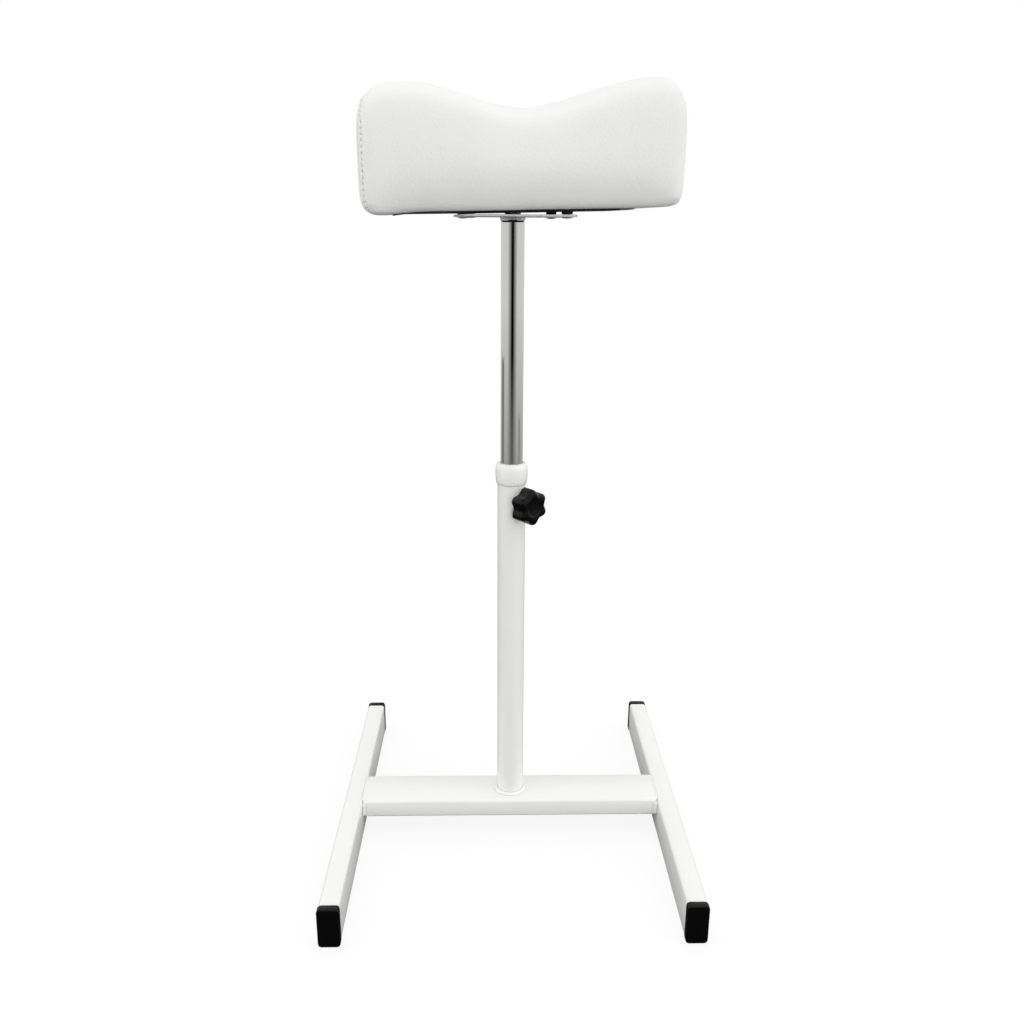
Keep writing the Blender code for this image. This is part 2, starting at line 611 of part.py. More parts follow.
def add_fixings():
    """Screw, spacer and tee nut at each of the four points. Each mesh has z = 0 at its lower seat."""
    shank = PLATE_SCREW_DIAMETER / 2
    nut_seat = BOARD_TOP - TEE_NUT_FLANGE - SEAT_GAP
    shank_end = nut_seat - PLATE_FOOT
    dome = []
    for step in range(SWEEP_STEPS + 1):
        share = step / SWEEP_STEPS
        radius = PLATE_SCREW_HEAD_DIAMETER / 2 * math.cos(share * math.pi / 2)
        dome.append((radius, -SEAT_GAP - PLATE_SCREW_HEAD_HEIGHT * math.sin(share * math.pi / 2)))
    dome[-1] = (0.0, -SEAT_GAP - PLATE_SCREW_HEAD_HEIGHT)
    screw_profile = [(0.0, shank_end), (shank, shank_end), (shank, -SEAT_GAP)] + dome
    screw = turned("plate_screw", screw_profile, SMALL_STEPS)

    spacer_radius = SPACER_DIAMETER / 2
    spacer_height = BOARD_FOOT - PLATE_TOP - 2 * SEAT_GAP
    spacer_profile = [
        (spacer_radius, spacer_height),
        (spacer_radius, 0.0),
        (FIXING_BORE, 0.0),
        (FIXING_BORE, spacer_height),
    ]
    spacer = turned("spacer", spacer_profile, SMALL_STEPS)

    flange_radius = TEE_NUT_FLANGE_DIAMETER / 2
    barrel_radius = TEE_NUT_BARREL_DIAMETER / 2
    nut_profile = [
        (flange_radius, TEE_NUT_FLANGE),
        (flange_radius, 0.0),
        (barrel_radius, 0.0),
        (barrel_radius, -TEE_NUT_BARREL),
        (FIXING_BORE, -TEE_NUT_BARREL),
        (FIXING_BORE, TEE_NUT_FLANGE),
    ]
    nut = turned("tee_nut", nut_profile, SMALL_STEPS)
    for name, x, y in fixing_points():
        add_part("plate_screw_" + name, screw, ZINC, (x, y, PLATE_FOOT), parent=HEAD_AXIS)
        add_part("spacer_" + name, spacer, RUBBER, (x, y, PLATE_TOP + SEAT_GAP), parent=HEAD_AXIS)
        add_part("tee_nut_" + name, nut, ZINC, (x, y, nut_seat), parent=HEAD_AXIS)


# Cushion: dust cover, board, foam and cover
def add_dust_cover():
    outline = rounded_rectangle(DUST_COVER_WIDTH, DUST_COVER_DEPTH, DUST_COVER_CORNER)
    loops = [outline, circle(CENTRE_BOLT_POCKET / 2)] + fixing_holes(SPACER_DIAMETER / 2 + RUNNING_GAP)
    mesh = extruded("dust_cover", loops, DUST_COVER_THICKNESS)
    z = DUST_COVER_FOOT + DUST_COVER_THICKNESS / 2
    add_part("dust_cover", mesh, DUST_CLOTH, (0.0, 0.0, z), parent=HEAD_AXIS)


def board_outline(clearance):
    """The board's outline, grown by a clearance."""
    width = CUSHION_WIDTH - 2 * BOARD_MARGIN + 2 * clearance
    depth = CUSHION_DEPTH - 2 * BOARD_MARGIN + 2 * clearance
    return rounded_rectangle(width, depth, BOARD_CORNER + clearance)


def add_board():
    barrel_hole = TEE_NUT_BARREL_DIAMETER / 2 + RUNNING_GAP
    flange_hole = TEE_NUT_FLANGE_DIAMETER / 2 + RUNNING_GAP
    loops = [board_outline(0.0), circle(CENTRE_BOLT_POCKET / 2)] + fixing_holes(barrel_hole)
    pocket_floor = BOARD_THICKNESS / 2 - TEE_NUT_FLANGE - 2 * SEAT_GAP
    pockets = []
    for name, x, y in fixing_points():
        pocket = cylinder("tee_nut_pocket", flange_hole, pocket_floor, BOARD_THICKNESS)
        pockets.append(moved(pocket, x, y))
    mesh = combined("cushion_board", extruded("cushion_board", loops, BOARD_THICKNESS), cut=pockets)
    add_part("cushion_board", mesh, PLYWOOD, (0.0, 0.0, BOARD_FOOT + BOARD_THICKNESS / 2), parent=HEAD_AXIS)


def saddle(x):
    """Height of the cushion's top across its width: a dip between two lobes, and a fall to each side."""
    crest = LOBE_SPACING / 2
    if abs(x) <= crest:
        return DIP_HEIGHT + (LOBE_HEIGHT - DIP_HEIGHT) * (1 - math.cos(math.pi * x / crest)) / 2
    return LOBE_HEIGHT - SHOULDER_DROP * ((abs(x) - crest) / (CUSHION_WIDTH / 2 - crest)) ** 2


def cushion_cage():
    """A box cut by the lines that carry its form, its top raised to the saddle and its edges drawn in."""
    half_width = CUSHION_WIDTH / 2
    half_depth = CUSHION_DEPTH / 2
    opening = COVER_OPENING_WIDTH / 2
    cage = bmesh.new()
    bmesh.ops.create_cube(cage, size=1.0, matrix=Matrix.Diagonal((CUSHION_WIDTH, CUSHION_DEPTH, 1.0, 1.0)))
    bmesh.ops.translate(cage, verts=cage.verts, vec=(0.0, 0.0, 0.5))
    across = (opening / 2, opening, half_width - SIDE_ROUND)
    cuts = [((1, 0, 0), 0.0), ((0, 1, 0), 0.0)]
    cuts += [((1, 0, 0), side * x) for x in across for side in (-1, 1)]
    cuts += [((0, 1, 0), end * (half_depth - FRONT_ROUND)) for end in (-1, 1)]
    cuts += [((0, 0, 1), FOOT_ROUND / LOBE_HEIGHT), ((0, 0, 1), 1 - FRONT_ROUND / LOBE_HEIGHT)]
    for normal, reach in cuts:
        geometry = cage.verts[:] + cage.edges[:] + cage.faces[:]
        point = [reach * share for share in normal]
        bmesh.ops.bisect_plane(cage, geom=geometry, dist=WELD_DISTANCE, plane_co=point, plane_no=normal)
    for vertex in cage.verts:
        x, y, height = vertex.co
        u = x / half_width
        v = y / half_depth
        rise = (2 * height - 1) ** 2
        # Smoothing flattens the saddle, so the cage bends further than the saddle does
        bend = saddle(x - opening / 2) - 2 * saddle(x) + saddle(x + opening / 2)
        lift = bend * SMOOTHING_LOSS if abs(x) < opening else 0.0
        vertex.co.x -= u * DRAW_IN * (rise + v * v) / 2
        vertex.co.y -= v * DRAW_IN * (rise + u * u) / 2
        vertex.co.z = height * (saddle(x) - lift + CROWN * (1 - v * v))
    return cage


def smoothed(name, cage):
    """A soft form from its cage, and the object that carries it."""
    mesh = bpy.data.meshes.new(name)
    cage.to_mesh(mesh)
    cage.free()
    source = linked(name, mesh)
    smooth = source.modifiers.new("Smooth", "SUBSURF")
    smooth.levels = 1
    smooth.render_levels = 1
    return source


def add_cover():
    """A leatherette skin, open under the board, with a hem that folds in beneath it."""
    cage = cushion_cage()
    reach_x = COVER_OPENING_WIDTH / 2
    reach_y = CUSHION_DEPTH / 2 - FRONT_ROUND
    opening = []
    for face in cage.faces:
        centre = face.calc_center_median()
        if centre.z < WELD_DISTANCE and abs(centre.x) < reach_x and abs(centre.y) < reach_y:
            opening.append(face)
    bmesh.ops.delete(cage, geom=opening, context="FACES")
    source = smoothed("cushion_cover", cage)
    skin = source.modifiers.new("Skin", "SOLIDIFY")
    skin.thickness = COVER_THICKNESS
    skin.offset = -1.0
    skin.use_even_offset = True
    add_part("cushion_cover", finished_mesh(source), LEATHERETTE, (0.0, 0.0, CUSHION_FOOT), parent=HEAD_AXIS)


def add_foam():
    """The foam fills the cover and hangs over the board's edges."""
    source = smoothed("cushion_foam", cushion_cage())
    shrink = source.modifiers.new("Shrink", "DISPLACE")
    shrink.strength = -(COVER_THICKNESS + FOAM_GAP)
    shrink.mid_level = 0.0
    board_top = BOARD_TOP - CUSHION_FOOT
    space = extruded("board_space", [board_outline(SEAT_GAP)], 2 * (board_top + SEAT_GAP))
    mesh = combined("cushion_foam", finished_mesh(source), cut=[space])
    add_part("cushion_foam", mesh, FOAM, (0.0, 0.0, CUSHION_FOOT), parent=HEAD_AXIS)


add_runners()
add_end_caps()
add_crossbar()
add_corner_welds()
add_column()
add_collar()
add_clamp()
add_mast()
add_plate()
add_fixings()
add_dust_cover()
add_board()
add_foam()
add_cover()
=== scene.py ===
"""Pedicure footrest: a height-adjustable stand with a saddle cushion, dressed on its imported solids."""
import json
import math

import bmesh
import bpy
from mathutils import Matrix, Vector
from mathutils.bvhtree import BVHTree
from mathutils.geometry import delaunay_2d_cdt
from mathutils.kdtree import KDTree


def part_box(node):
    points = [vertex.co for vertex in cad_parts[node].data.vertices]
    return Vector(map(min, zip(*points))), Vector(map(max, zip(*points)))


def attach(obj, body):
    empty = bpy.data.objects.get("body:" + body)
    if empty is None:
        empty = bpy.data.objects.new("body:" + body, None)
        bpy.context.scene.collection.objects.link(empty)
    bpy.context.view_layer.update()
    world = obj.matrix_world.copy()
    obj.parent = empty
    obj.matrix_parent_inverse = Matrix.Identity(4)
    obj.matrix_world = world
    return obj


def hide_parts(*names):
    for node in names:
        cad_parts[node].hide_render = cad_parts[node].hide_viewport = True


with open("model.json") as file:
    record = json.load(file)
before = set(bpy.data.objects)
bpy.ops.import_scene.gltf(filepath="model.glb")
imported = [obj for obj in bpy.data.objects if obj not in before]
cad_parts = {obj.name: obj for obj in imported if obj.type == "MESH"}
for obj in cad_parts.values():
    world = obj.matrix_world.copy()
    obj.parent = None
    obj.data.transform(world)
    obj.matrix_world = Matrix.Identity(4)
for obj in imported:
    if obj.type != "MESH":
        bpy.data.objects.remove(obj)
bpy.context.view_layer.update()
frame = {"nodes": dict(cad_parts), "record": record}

# Camera
# The photograph was taken from straight in front, a little left of the column, at the height of the
# cushion's underside and looking slightly down, through a moderately wide lens.
CAMERA_PLACE = (-0.0194, -0.9092, 0.6385)
CAMERA_YAW = math.radians(1.264)  # to the right
CAMERA_PITCH = math.radians(17.017)  # down
CAMERA_ROLL = math.radians(0.302)
IMAGE_WIDTH = 1024
FOCAL_PIXELS = 940
SENSOR_WIDTH = 36.0

lens = bpy.data.cameras.new("camera")
lens.sensor_width = SENSOR_WIDTH
lens.lens = SENSOR_WIDTH * FOCAL_PIXELS / IMAGE_WIDTH
camera = bpy.data.objects.new("camera", lens)
aim = Matrix.Rotation(-CAMERA_YAW, 4, "Z")
aim @= Matrix.Rotation(math.pi / 2 - CAMERA_PITCH, 4, "X")
aim @= Matrix.Rotation(CAMERA_ROLL, 4, "Z")
camera.matrix_world = Matrix.Translation(CAMERA_PLACE) @ aim
bpy.context.scene.collection.objects.link(camera)
bpy.context.scene.camera = camera
bpy.context.scene.view_settings.view_transform = "Standard"

# Studio
# A round of matt paper on the floor under a bright ceiling, with a soft lamp in front and one on each side.
# The camera sees paper and background as white, with a faint shadow of the stand. What shines sees the paper
# dark, and round it a pale wall that is dark behind the camera and dim near the floor.
FLOOR_RADIUS = 1.6
PAPER_GREY = "#A0A0A0"
SHINE_REACH = 1.45  # what shines sees the paper dark as far as this
SHINE_GREYS = (0.05, 0.55)
SHADOW_REACH = 0.8  # the shadow fades out from here to the paper's edge
SHADOW_SHARE = 0.14  # of the paper's own shading that the camera sees
WALL_HEIGHT = 0.75
WALL_SIDES = 96
WALL_DIM = 0.56  # of the wall's foot
WALL_DIM_HEIGHT = 0.45
DARK_TURNS = (math.radians(173), math.radians(131))  # from the rear: the dark part's core and its edge
DARK_FADE = (0.05, 0.30)  # heights between which the dark part gets black
DARK_FOOT = 0.30
CHESTS = {  # dim things in the room: level, turn from the front, half width and height
    "left_chest": (0.30, math.radians(-106), math.radians(18), 0.32),
    "right_chest": (0.45, math.radians(83), math.radians(13), 0.17),
    "rear_door": (0.05, math.radians(180), math.radians(15), 0.75),
}
CHEST_REACH = 1.5
CEILING_LIGHT = 0.97
CEILING_EDGE = (-0.1, 0.25)  # slopes of the view between which that light comes up
FILL_SIZE = 1.4
FILL_PLACE = (0.25, -2.6, 1.1)
FILL_SPREAD = math.radians(60)
FILL_POWER = 2.5
SIDE_SIZE = 1.4
SIDE_PLACE = (2.2, -0.5, 0.6)
LEFT_POWER = 8
RIGHT_POWER = 11
LAMP_AIM = Vector((0.0, 0.0, 0.7))


def linear(hex_colour):
    """The linear colour of an sRGB hex value."""
    shares = [int(hex_colour[i:i + 2], 16) / 255 for i in (1, 3, 5)]
    return [s / 12.92 if s <= 0.04045 else ((s + 0.055) / 1.055) ** 2.4 for s in shares] + [1.0]


def add_node(tree, kind, inputs=None, **settings):
    """Adds a shader node with its settings. An input is a value, or a socket that is linked to it."""
    node = tree.nodes.new("ShaderNode" + kind)
    for name, value in settings.items():
        setattr(node, name, value)
    for name, value in (inputs or {}).items():
        if isinstance(value, bpy.types.NodeSocket):
            tree.links.new(value, node.inputs[name])
        else:
            node.inputs[name].default_value = value
    return node


def add_piece(name, data):
    """An object in the scene."""
    piece = bpy.data.objects.new(name, data)
    bpy.context.scene.collection.objects.link(piece)
    return piece


def meshed(name, shape, material):
    """A piece from a bmesh, smooth all over."""
    bmesh.ops.recalc_face_normals(shape, faces=shape.faces)
    mesh = bpy.data.meshes.new(name)
    shape.to_mesh(mesh)
    shape.free()
    mesh.shade_smooth()
    mesh.materials.append(material)
    return add_piece(name, mesh)


def bare_material(name):
    """A material with nothing in its tree. Returns both."""
    material = bpy.data.materials.new(name)
    material.use_nodes = True
    material.node_tree.nodes.clear()
    return material, material.node_tree


def round_turns(count):
    """Even angles once round."""
    return [2 * math.pi * i / count for i in range(count)]


def join_rings(shape, rings, closed=False, capped=True):
    """Joins rings of points with faces. A row of rings that isn't closed gets a face at each end."""
    count = len(rings[0])
    for first, second in zip(rings, rings[1:] + rings[:1] if closed else rings[1:]):
        for i in range(count):
            following = (i + 1) % count
            shape.faces.new((first[i], first[following], second[following], second[i]))
    if capped and not closed:
        shape.faces.new(rings[0])
        shape.faces.new(rings[-1])


def only_shine(card):
    """Hides a card from the camera and from the light that falls on things."""
    card.visible_camera = False
    card.visible_diffuse = False
    card.visible_shadow = False


paper, tree = bare_material("matt_paper")
place = add_node(tree, "TexCoord").outputs["Object"]
distance = add_node(tree, "VectorMath", {0: place}, operation="LENGTH").outputs["Value"]
unshadowed = add_node(tree, "MapRange", {
    "Value": distance, "From Min": SHADOW_REACH, "From Max": FLOOR_RADIUS,
    "To Min": 1 - SHADOW_SHARE, "To Max": 1.0})
shine = add_node(tree, "MapRange", {
    "Value": distance, "From Min": SHINE_REACH, "From Max": FLOOR_RADIUS,
    "To Min": SHINE_GREYS[0], "To Max": SHINE_GREYS[1]})
grey = add_node(tree, "BsdfDiffuse", {"Color": linear(PAPER_GREY)})
dark = add_node(tree, "Emission", {"Color": linear("#FFFFFF"), "Strength": shine.outputs[0]})
pale = add_node(tree, "BsdfDiffuse", {"Color": linear("#FFFFFF")})
white = add_node(tree, "Emission", {"Color": linear("#FFFFFF"), "Strength": 1.0})
shown = add_node(tree, "MixShader", {0: unshadowed.outputs[0], 1: pale.outputs[0], 2: white.outputs[0]})
path = add_node(tree, "LightPath").outputs
unseen = add_node(tree, "MixShader", {0: path["Is Glossy Ray"], 1: grey.outputs[0], 2: dark.outputs[0]})
mix = add_node(tree, "MixShader", {0: path["Is Camera Ray"], 1: unseen.outputs[0], 2: shown.outputs[0]})
add_node(tree, "OutputMaterial", {"Surface": mix.outputs[0]})
disc = bmesh.new()
bmesh.ops.create_circle(disc, cap_ends=True, segments=WALL_SIDES, radius=FLOOR_RADIUS)
meshed("floor", disc, paper)

wall_paint, tree = bare_material("room_wall")
place = add_node(tree, "TexCoord").outputs["Object"]
axes = add_node(tree, "SeparateXYZ", {0: place}).outputs
turn = add_node(tree, "Math", {0: axes["X"], 1: axes["Y"]}, operation="ARCTAN2")
turn = add_node(tree, "Math", {0: turn.outputs[0]}, operation="ABSOLUTE")
core = add_node(tree, "MapRange", {
    "Value": axes["Z"], "From Min": DARK_FADE[0], "From Max": DARK_FADE[1],
    "To Min": DARK_FOOT, "To Max": 0.0})
pale_share = add_node(tree, "MapRange", {
    "Value": turn.outputs[0], "From Min": DARK_TURNS[0], "From Max": DARK_TURNS[1],
    "To Min": core.outputs[0], "To Max": 1.0})
level = add_node(tree, "MapRange", {
    "Value": axes["Z"], "From Min": 0.0, "From Max": WALL_DIM_HEIGHT, "To Min": WALL_DIM, "To Max": 1.0})
strength = add_node(tree, "Math", {0: pale_share.outputs[0], 1: level.outputs[0]}, operation="MULTIPLY")
glow = add_node(tree, "Emission", {"Color": linear("#FFFFFF"), "Strength": strength.outputs[0]})
add_node(tree, "OutputMaterial", {"Surface": glow.outputs[0]})
drum = bmesh.new()
rims = []
for z in (0.0, WALL_HEIGHT):
    rims.append([
        drum.verts.new((FLOOR_RADIUS * math.cos(t), FLOOR_RADIUS * math.sin(t), z))
        for t in round_turns(WALL_SIDES)])
join_rings(drum, rims, capped=False)
only_shine(meshed("room_wall", drum, wall_paint))

for name, (level, turn, half, height) in CHESTS.items():
    chest_paint, tree = bare_material(name)
    glow = add_node(tree, "Emission", {"Color": linear("#FFFFFF"), "Strength": level})
    add_node(tree, "OutputMaterial", {"Surface": glow.outputs[0]})
    feet = [Vector((math.sin(t), -math.cos(t), 0.0)) * CHEST_REACH for t in (turn - half, turn + half)]
    rise = Vector((0.0, 0.0, height))
    front = bmesh.new()
    front.faces.new([front.verts.new(p) for p in (feet[0], feet[1], feet[1] + rise, feet[0] + rise)])
    only_shine(meshed(name, front, chest_paint))

world = bpy.data.worlds.new("studio")
world.use_nodes = True
tree = world.node_tree
tree.nodes.clear()
direction = add_node(tree, "TexCoord").outputs["Generated"]
height = add_node(tree, "SeparateXYZ", {0: direction}).outputs["Z"]
ceiling = add_node(tree, "MapRange", {
    "Value": height, "From Min": CEILING_EDGE[0], "From Max": CEILING_EDGE[1],
    "To Min": 0.0, "To Max": CEILING_LIGHT})
light = add_node(tree, "Background", {"Color": linear("#FFFFFF"), "Strength": ceiling.outputs[0]})
backdrop = add_node(tree, "Background", {"Color": linear("#FFFFFF"), "Strength": 1.0})
path = add_node(tree, "LightPath").outputs
seen = add_node(tree, "Math", {0: path["Is Camera Ray"], 1: path["Is Glossy Ray"]}, operation="MAXIMUM")
mix = add_node(tree, "MixShader", {0: seen.outputs[0], 1: light.outputs[0], 2: backdrop.outputs[0]})
add_node(tree, "OutputWorld", {"Surface": mix.outputs[0]})
bpy.context.scene.world = world

for name, place, size, spread, power in (
    ("fill", FILL_PLACE, FILL_SIZE, FILL_SPREAD, FILL_POWER),
    ("left_light", (-SIDE_PLACE[0], *SIDE_PLACE[1:]), SIDE_SIZE, math.pi, LEFT_POWER),
    ("right_light", SIDE_PLACE, SIDE_SIZE, math.pi, RIGHT_POWER),
):
    lamp = bpy.data.lights.new(name, "AREA")
    lamp.shape = "DISK"
    lamp.size = size
    lamp.spread = spread
    lamp.energy = power
    stand = add_piece(name, lamp)
    stand.location = place
    stand.rotation_euler = (LAMP_AIM - Vector(place)).to_track_quat("-Z", "Y").to_euler()
    stand.visible_glossy = False

# Base
# Two runners and a crossbar of rectangular steel tube, cut, welded and powder coated white. The coat is baked
# on as one skin, so it rounds the tubes' edges and lies semi-gloss over everything that was welded.
CUT_EDGE = 0.00035
WELD_DISTANCE = 0.00001
SHARP_ANGLE = math.radians(35)
ORANGE_PEEL = 0.0022  # between its bumps, drawn about twice as coarse as it is
COAT_CLOUDS = 0.060
ENDS = ("front", "rear")
SIDES = ("left", "right")


def start_material(name, colour, roughness, metallic=0.0):
    """A Principled material with its plain values. Returns it, its tree, its shader and its coordinates."""
    material = bpy.data.materials.new(name)
    material.use_nodes = True
    tree = material.node_tree
    shader = tree.nodes["Principled BSDF"]
    shader.inputs["Base Color"].default_value = linear(colour)
    shader.inputs["Roughness"].default_value = roughness
    shader.inputs["Metallic"].default_value = metallic
    return material, tree, shader, add_node(tree, "TexCoord").outputs["Object"]


def vary(tree, shader, socket, pattern, low, high):
    """Drives one of the shader's values with a pattern from 0 to 1."""
    spread = add_node(tree, "MapRange", {"Value": pattern, "To Min": low, "To Max": high})
    tree.links.new(spread.outputs[0], shader.inputs[socket])


def tint_between(tree, shader, pattern, first, second):
    """Drives the shader's colour with a pattern from 0 to 1."""
    inputs = {"Factor": pattern, "A": linear(first), "B": linear(second)}
    blend = add_node(tree, "Mix", inputs, data_type="RGBA")
    tree.links.new(blend.outputs["Result"], shader.inputs["Base Color"])


def emboss(tree, shader, pattern, strength, depth):
    """Raises the shader's surface with a pattern from 0 to 1."""
    bump = add_node(tree, "Bump", {"Height": pattern, "Strength": strength, "Distance": depth})
    tree.links.new(bump.outputs["Normal"], shader.inputs["Normal"])


def dress(names, material):
    """Gives solids a finish. Their facets are welded and smoothed, and their sharp edges are broken."""
    for name in names:
        piece = frame["nodes"][name]
        mesh = piece.data
        mesh.attributes.remove(mesh.attributes["custom_normal"])
        mesh.shade_smooth()
        mesh.materials.clear()
        mesh.materials.append(material)
        weld = piece.modifiers.new("weld", "WELD")
        weld.merge_threshold = WELD_DISTANCE
        bevel = piece.modifiers.new("broken_edges", "BEVEL")
        bevel.width = CUT_EDGE
        bevel.segments = 2
        bevel.limit_method = "ANGLE"
        bevel.angle_limit = SHARP_ANGLE
        bevel.harden_normals = True


# A semi-gloss paint skin: a soft sheen, broken by a slight orange peel and by faint clouds in the coat
powder_coat, tree, shader, place = start_material("white_powder_coat_on_steel", "#F0F0EE", 0.36)
peel = add_node(tree, "TexNoise", {"Vector": place, "Scale": 1 / ORANGE_PEEL, "Detail": 1.0}).outputs["Fac"]
clouds = add_node(tree, "TexNoise", {"Vector": place, "Scale": 1 / COAT_CLOUDS, "Detail": 2.0}).outputs["Fac"]
tint_between(tree, shader, clouds, "#F2F2F0", "#EDEDEB")
vary(tree, shader, "Roughness", clouds, 0.30, 0.42)
emboss(tree, shader, peel, 0.25, 0.0001)

dress(["left_runner", "right_runner", "crossbar"], powder_coat)

# Weld beads
# Fillet welds where the crossbar meets the runners and where the column stands on it. The arc leaves a row of
# ripples, which the powder coat softens. On top the welds are ground flush, so only a faint line is left.
RIPPLE_PITCH = 0.0024
RIPPLE_STEPS = 6
RIPPLE_SHARE = 0.09
BEAD_STEPS = 6
BEAD_BULGE = 0.64  # a bead's middle against its legs
BEAD_TAPER = 0.9  # at the ends of an open bead
COLUMN_WELD_LEG = 0.003
FLUSH_SECTION = (  # of a flush weld: from the crossbar's end towards the runner, and up from their tops
    (-0.0006, 0.00006), (0.0006, 0.0), (0.0022, -0.00015),
    (0.0014, -0.0010), (0.0003, -0.0024), (-0.0006, -0.0010))
FLUSH_LENGTH = 0.045
FLUSH_STEPS = 60
FLUSH_RIPPLE = 0.00004


def quarter_turns(steps):
    """Even angles from 0 to a right angle."""
    return [math.pi / 2 * i / steps for i in range(steps + 1)]


def bead(shape, frames, leg, closed):
    """A rippled fillet along frames, each a corner point and the directions of the bead's two legs."""
    rings = []
    for i, (corner, first, second) in enumerate(frames):
        ripple = 1 - RIPPLE_SHARE * (1 - abs(math.sin(math.pi * i / RIPPLE_STEPS)))
        end = 0 if closed else max(1 - min(i, len(frames) - 1 - i) / RIPPLE_STEPS, 0.0)
        reach = leg * ripple * math.sqrt(1 - BEAD_TAPER * end ** 2)
        ring = [shape.verts.new(corner)]
        for turn in quarter_turns(BEAD_STEPS):
            bulge = 1 - (1 - BEAD_BULGE) * math.sin(2 * turn)
            toward = first * math.cos(turn) + second * math.sin(turn)
            ring.append(shape.verts.new(corner + toward * reach * bulge))
        rings.append(ring)
    join_rings(shape, rings, closed)


for end in ENDS:
    for side in SIDES:
        node = f"weld_{end}_{side}"
        low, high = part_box(node)
        inward = Vector((1 if side == "left" else -1, 0, 0))
        outward = Vector((0, -1 if end == "front" else 1, 0))
        corner_x = low[0] if side == "left" else high[0]
        corner_y = high[1] if end == "front" else low[1]
        steps = round((high[2] - low[2]) / RIPPLE_PITCH * RIPPLE_STEPS)
        levels = [low[2] + (high[2] - low[2]) * i / steps for i in range(steps + 1)]
        frames = [(Vector((corner_x, corner_y, z)), inward, outward) for z in levels]
        shape = bmesh.new()
        bead(shape, frames, high[0] - low[0], False)
        fillet = meshed(f"fillet_{end}_{side}", shape, powder_coat)
        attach(fillet, "base")
        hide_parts(node)

for side in SIDES:
    low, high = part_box("crossbar")
    end_x = low[0] if side == "left" else high[0]
    outward = -1 if side == "left" else 1
    shape = bmesh.new()
    rings = []
    for i in range(FLUSH_STEPS + 1):
        y = FLUSH_LENGTH * (i / FLUSH_STEPS - 0.5)
        ripple = FLUSH_RIPPLE * math.sin(2 * math.pi * y / RIPPLE_PITCH)
        rings.append([
            shape.verts.new((end_x + outward * u, y, high[2] + v + ripple)) for u, v in FLUSH_SECTION])
    join_rings(shape, rings)
    flush_weld = meshed(f"flush_weld_{side}", shape, powder_coat)
    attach(flush_weld, "base")

low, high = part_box("column_weld")
seat_radius = high[0] - COLUMN_WELD_LEG
ripples = round(2 * math.pi * seat_radius / RIPPLE_PITCH)
frames = []
for turn in round_turns(ripples * RIPPLE_STEPS):
    outward = Vector((math.cos(turn), math.sin(turn), 0))
    frames.append((outward * seat_radius + Vector((0, 0, low[2])), outward, Vector((0, 0, 1))))
shape = bmesh.new()
bead(shape, frames, COLUMN_WELD_LEG, True)
column_fillet = meshed("column_fillet", shape, powder_coat)
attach(column_fillet, "base")
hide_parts("column_weld")

# End caps
# Push-in caps of black polypropylene close the runners' four ends, and the base stands on their lips. Their
# heads are moulded with a fine spark-eroded skin and a small round on every edge.
SPARK_GRAIN = 0.0008  # drawn about twice as coarse as it is
FLOW_CLOUDS = 0.012

# Satin black plastic: a dim, blurred sheen with a fine grain, a little glossier where the mould was worn
moulded_black, tree, shader, place = start_material("black_moulded_polypropylene", "#060607", 0.27)
shader.inputs["IOR"].default_value = 1.49
shader.inputs["Specular IOR Level"].default_value = 0.2
grain = add_node(tree, "TexNoise", {"Vector": place, "Scale": 1 / SPARK_GRAIN, "Detail": 2.0}).outputs["Fac"]
clouds = add_node(tree, "TexNoise", {"Vector": place, "Scale": 1 / FLOW_CLOUDS, "Detail": 2.0}).outputs["Fac"]
tint_between(tree, shader, clouds, "#050506", "#080809")
vary(tree, shader, "Roughness", clouds, 0.22, 0.33)
emboss(tree, shader, grain, 0.1, 0.0001)

dress([f"cap_{end}_{side}" for end in ENDS for side in SIDES], moulded_black)

# Column
# A round steel tube that stands on the crossbar, with a threaded boss welded to its side for the clamp. Both
# are powder coated with the base.
dress(["column_tube", "clamp_boss"], powder_coat)

# Guide collar
# A bush of white polypropylene pressed into the column's top. Its barrel-shaped head covers the tube's edge
# and its sleeve guides the mast, with a second ring of the same plastic on the mast's foot.
COLLAR_HEIGHT = 0.020  # of its head
COLLAR_DOME = 0.0016  # how far its top rises to the mast
COLLAR_RADIUS = 0.0160
COLLAR_FOOT_RADIUS = 0.0143
COLLAR_TOP_ROUND = (0.0044, 0.0042)  # inward and down
COLLAR_FOOT_ROUND = 0.0075
COLLAR_BELLY = 0.0002
SLEEVE_BORE = 0.0113
BORE_EDGE = 0.0004
SLEEVE_RADIUS = 0.0125
SHOE_HOLE_RADIUS = 0.0050
CLAMP_TURN = math.radians(40)
TURNED_SIDES = 96
ROUND_STEPS = 6

sleeve_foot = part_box("guide_collar")[0][2]
collar_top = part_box("guide_collar")[1][2]
joints = {joint["name"]: joint for joint in frame["record"]["behaviour"]["joints"]}
clamp_place = (
    Matrix.Translation(joints["knob_turn"]["pos_m"])
    @ Matrix.Rotation(CLAMP_TURN, 4, "Z")
    @ Matrix.Rotation(math.pi / 2, 4, "X")
)


def lathe(shape, profile, sides):
    """Turns a closed profile of radii and heights round the z axis."""
    rings = []
    for radius, z in profile:
        rings.append([
            shape.verts.new((radius * math.cos(t), radius * math.sin(t), z)) for t in round_turns(sides)])
    join_rings(shape, rings, closed=True)


def bake(piece):
    """Applies the piece's modifiers to its mesh."""
    bpy.context.view_layer.update()
    evaluated = piece.evaluated_get(bpy.context.evaluated_depsgraph_get())
    mesh = bpy.data.meshes.new_from_object(evaluated)
    piece.modifiers.clear()
    piece.data = mesh


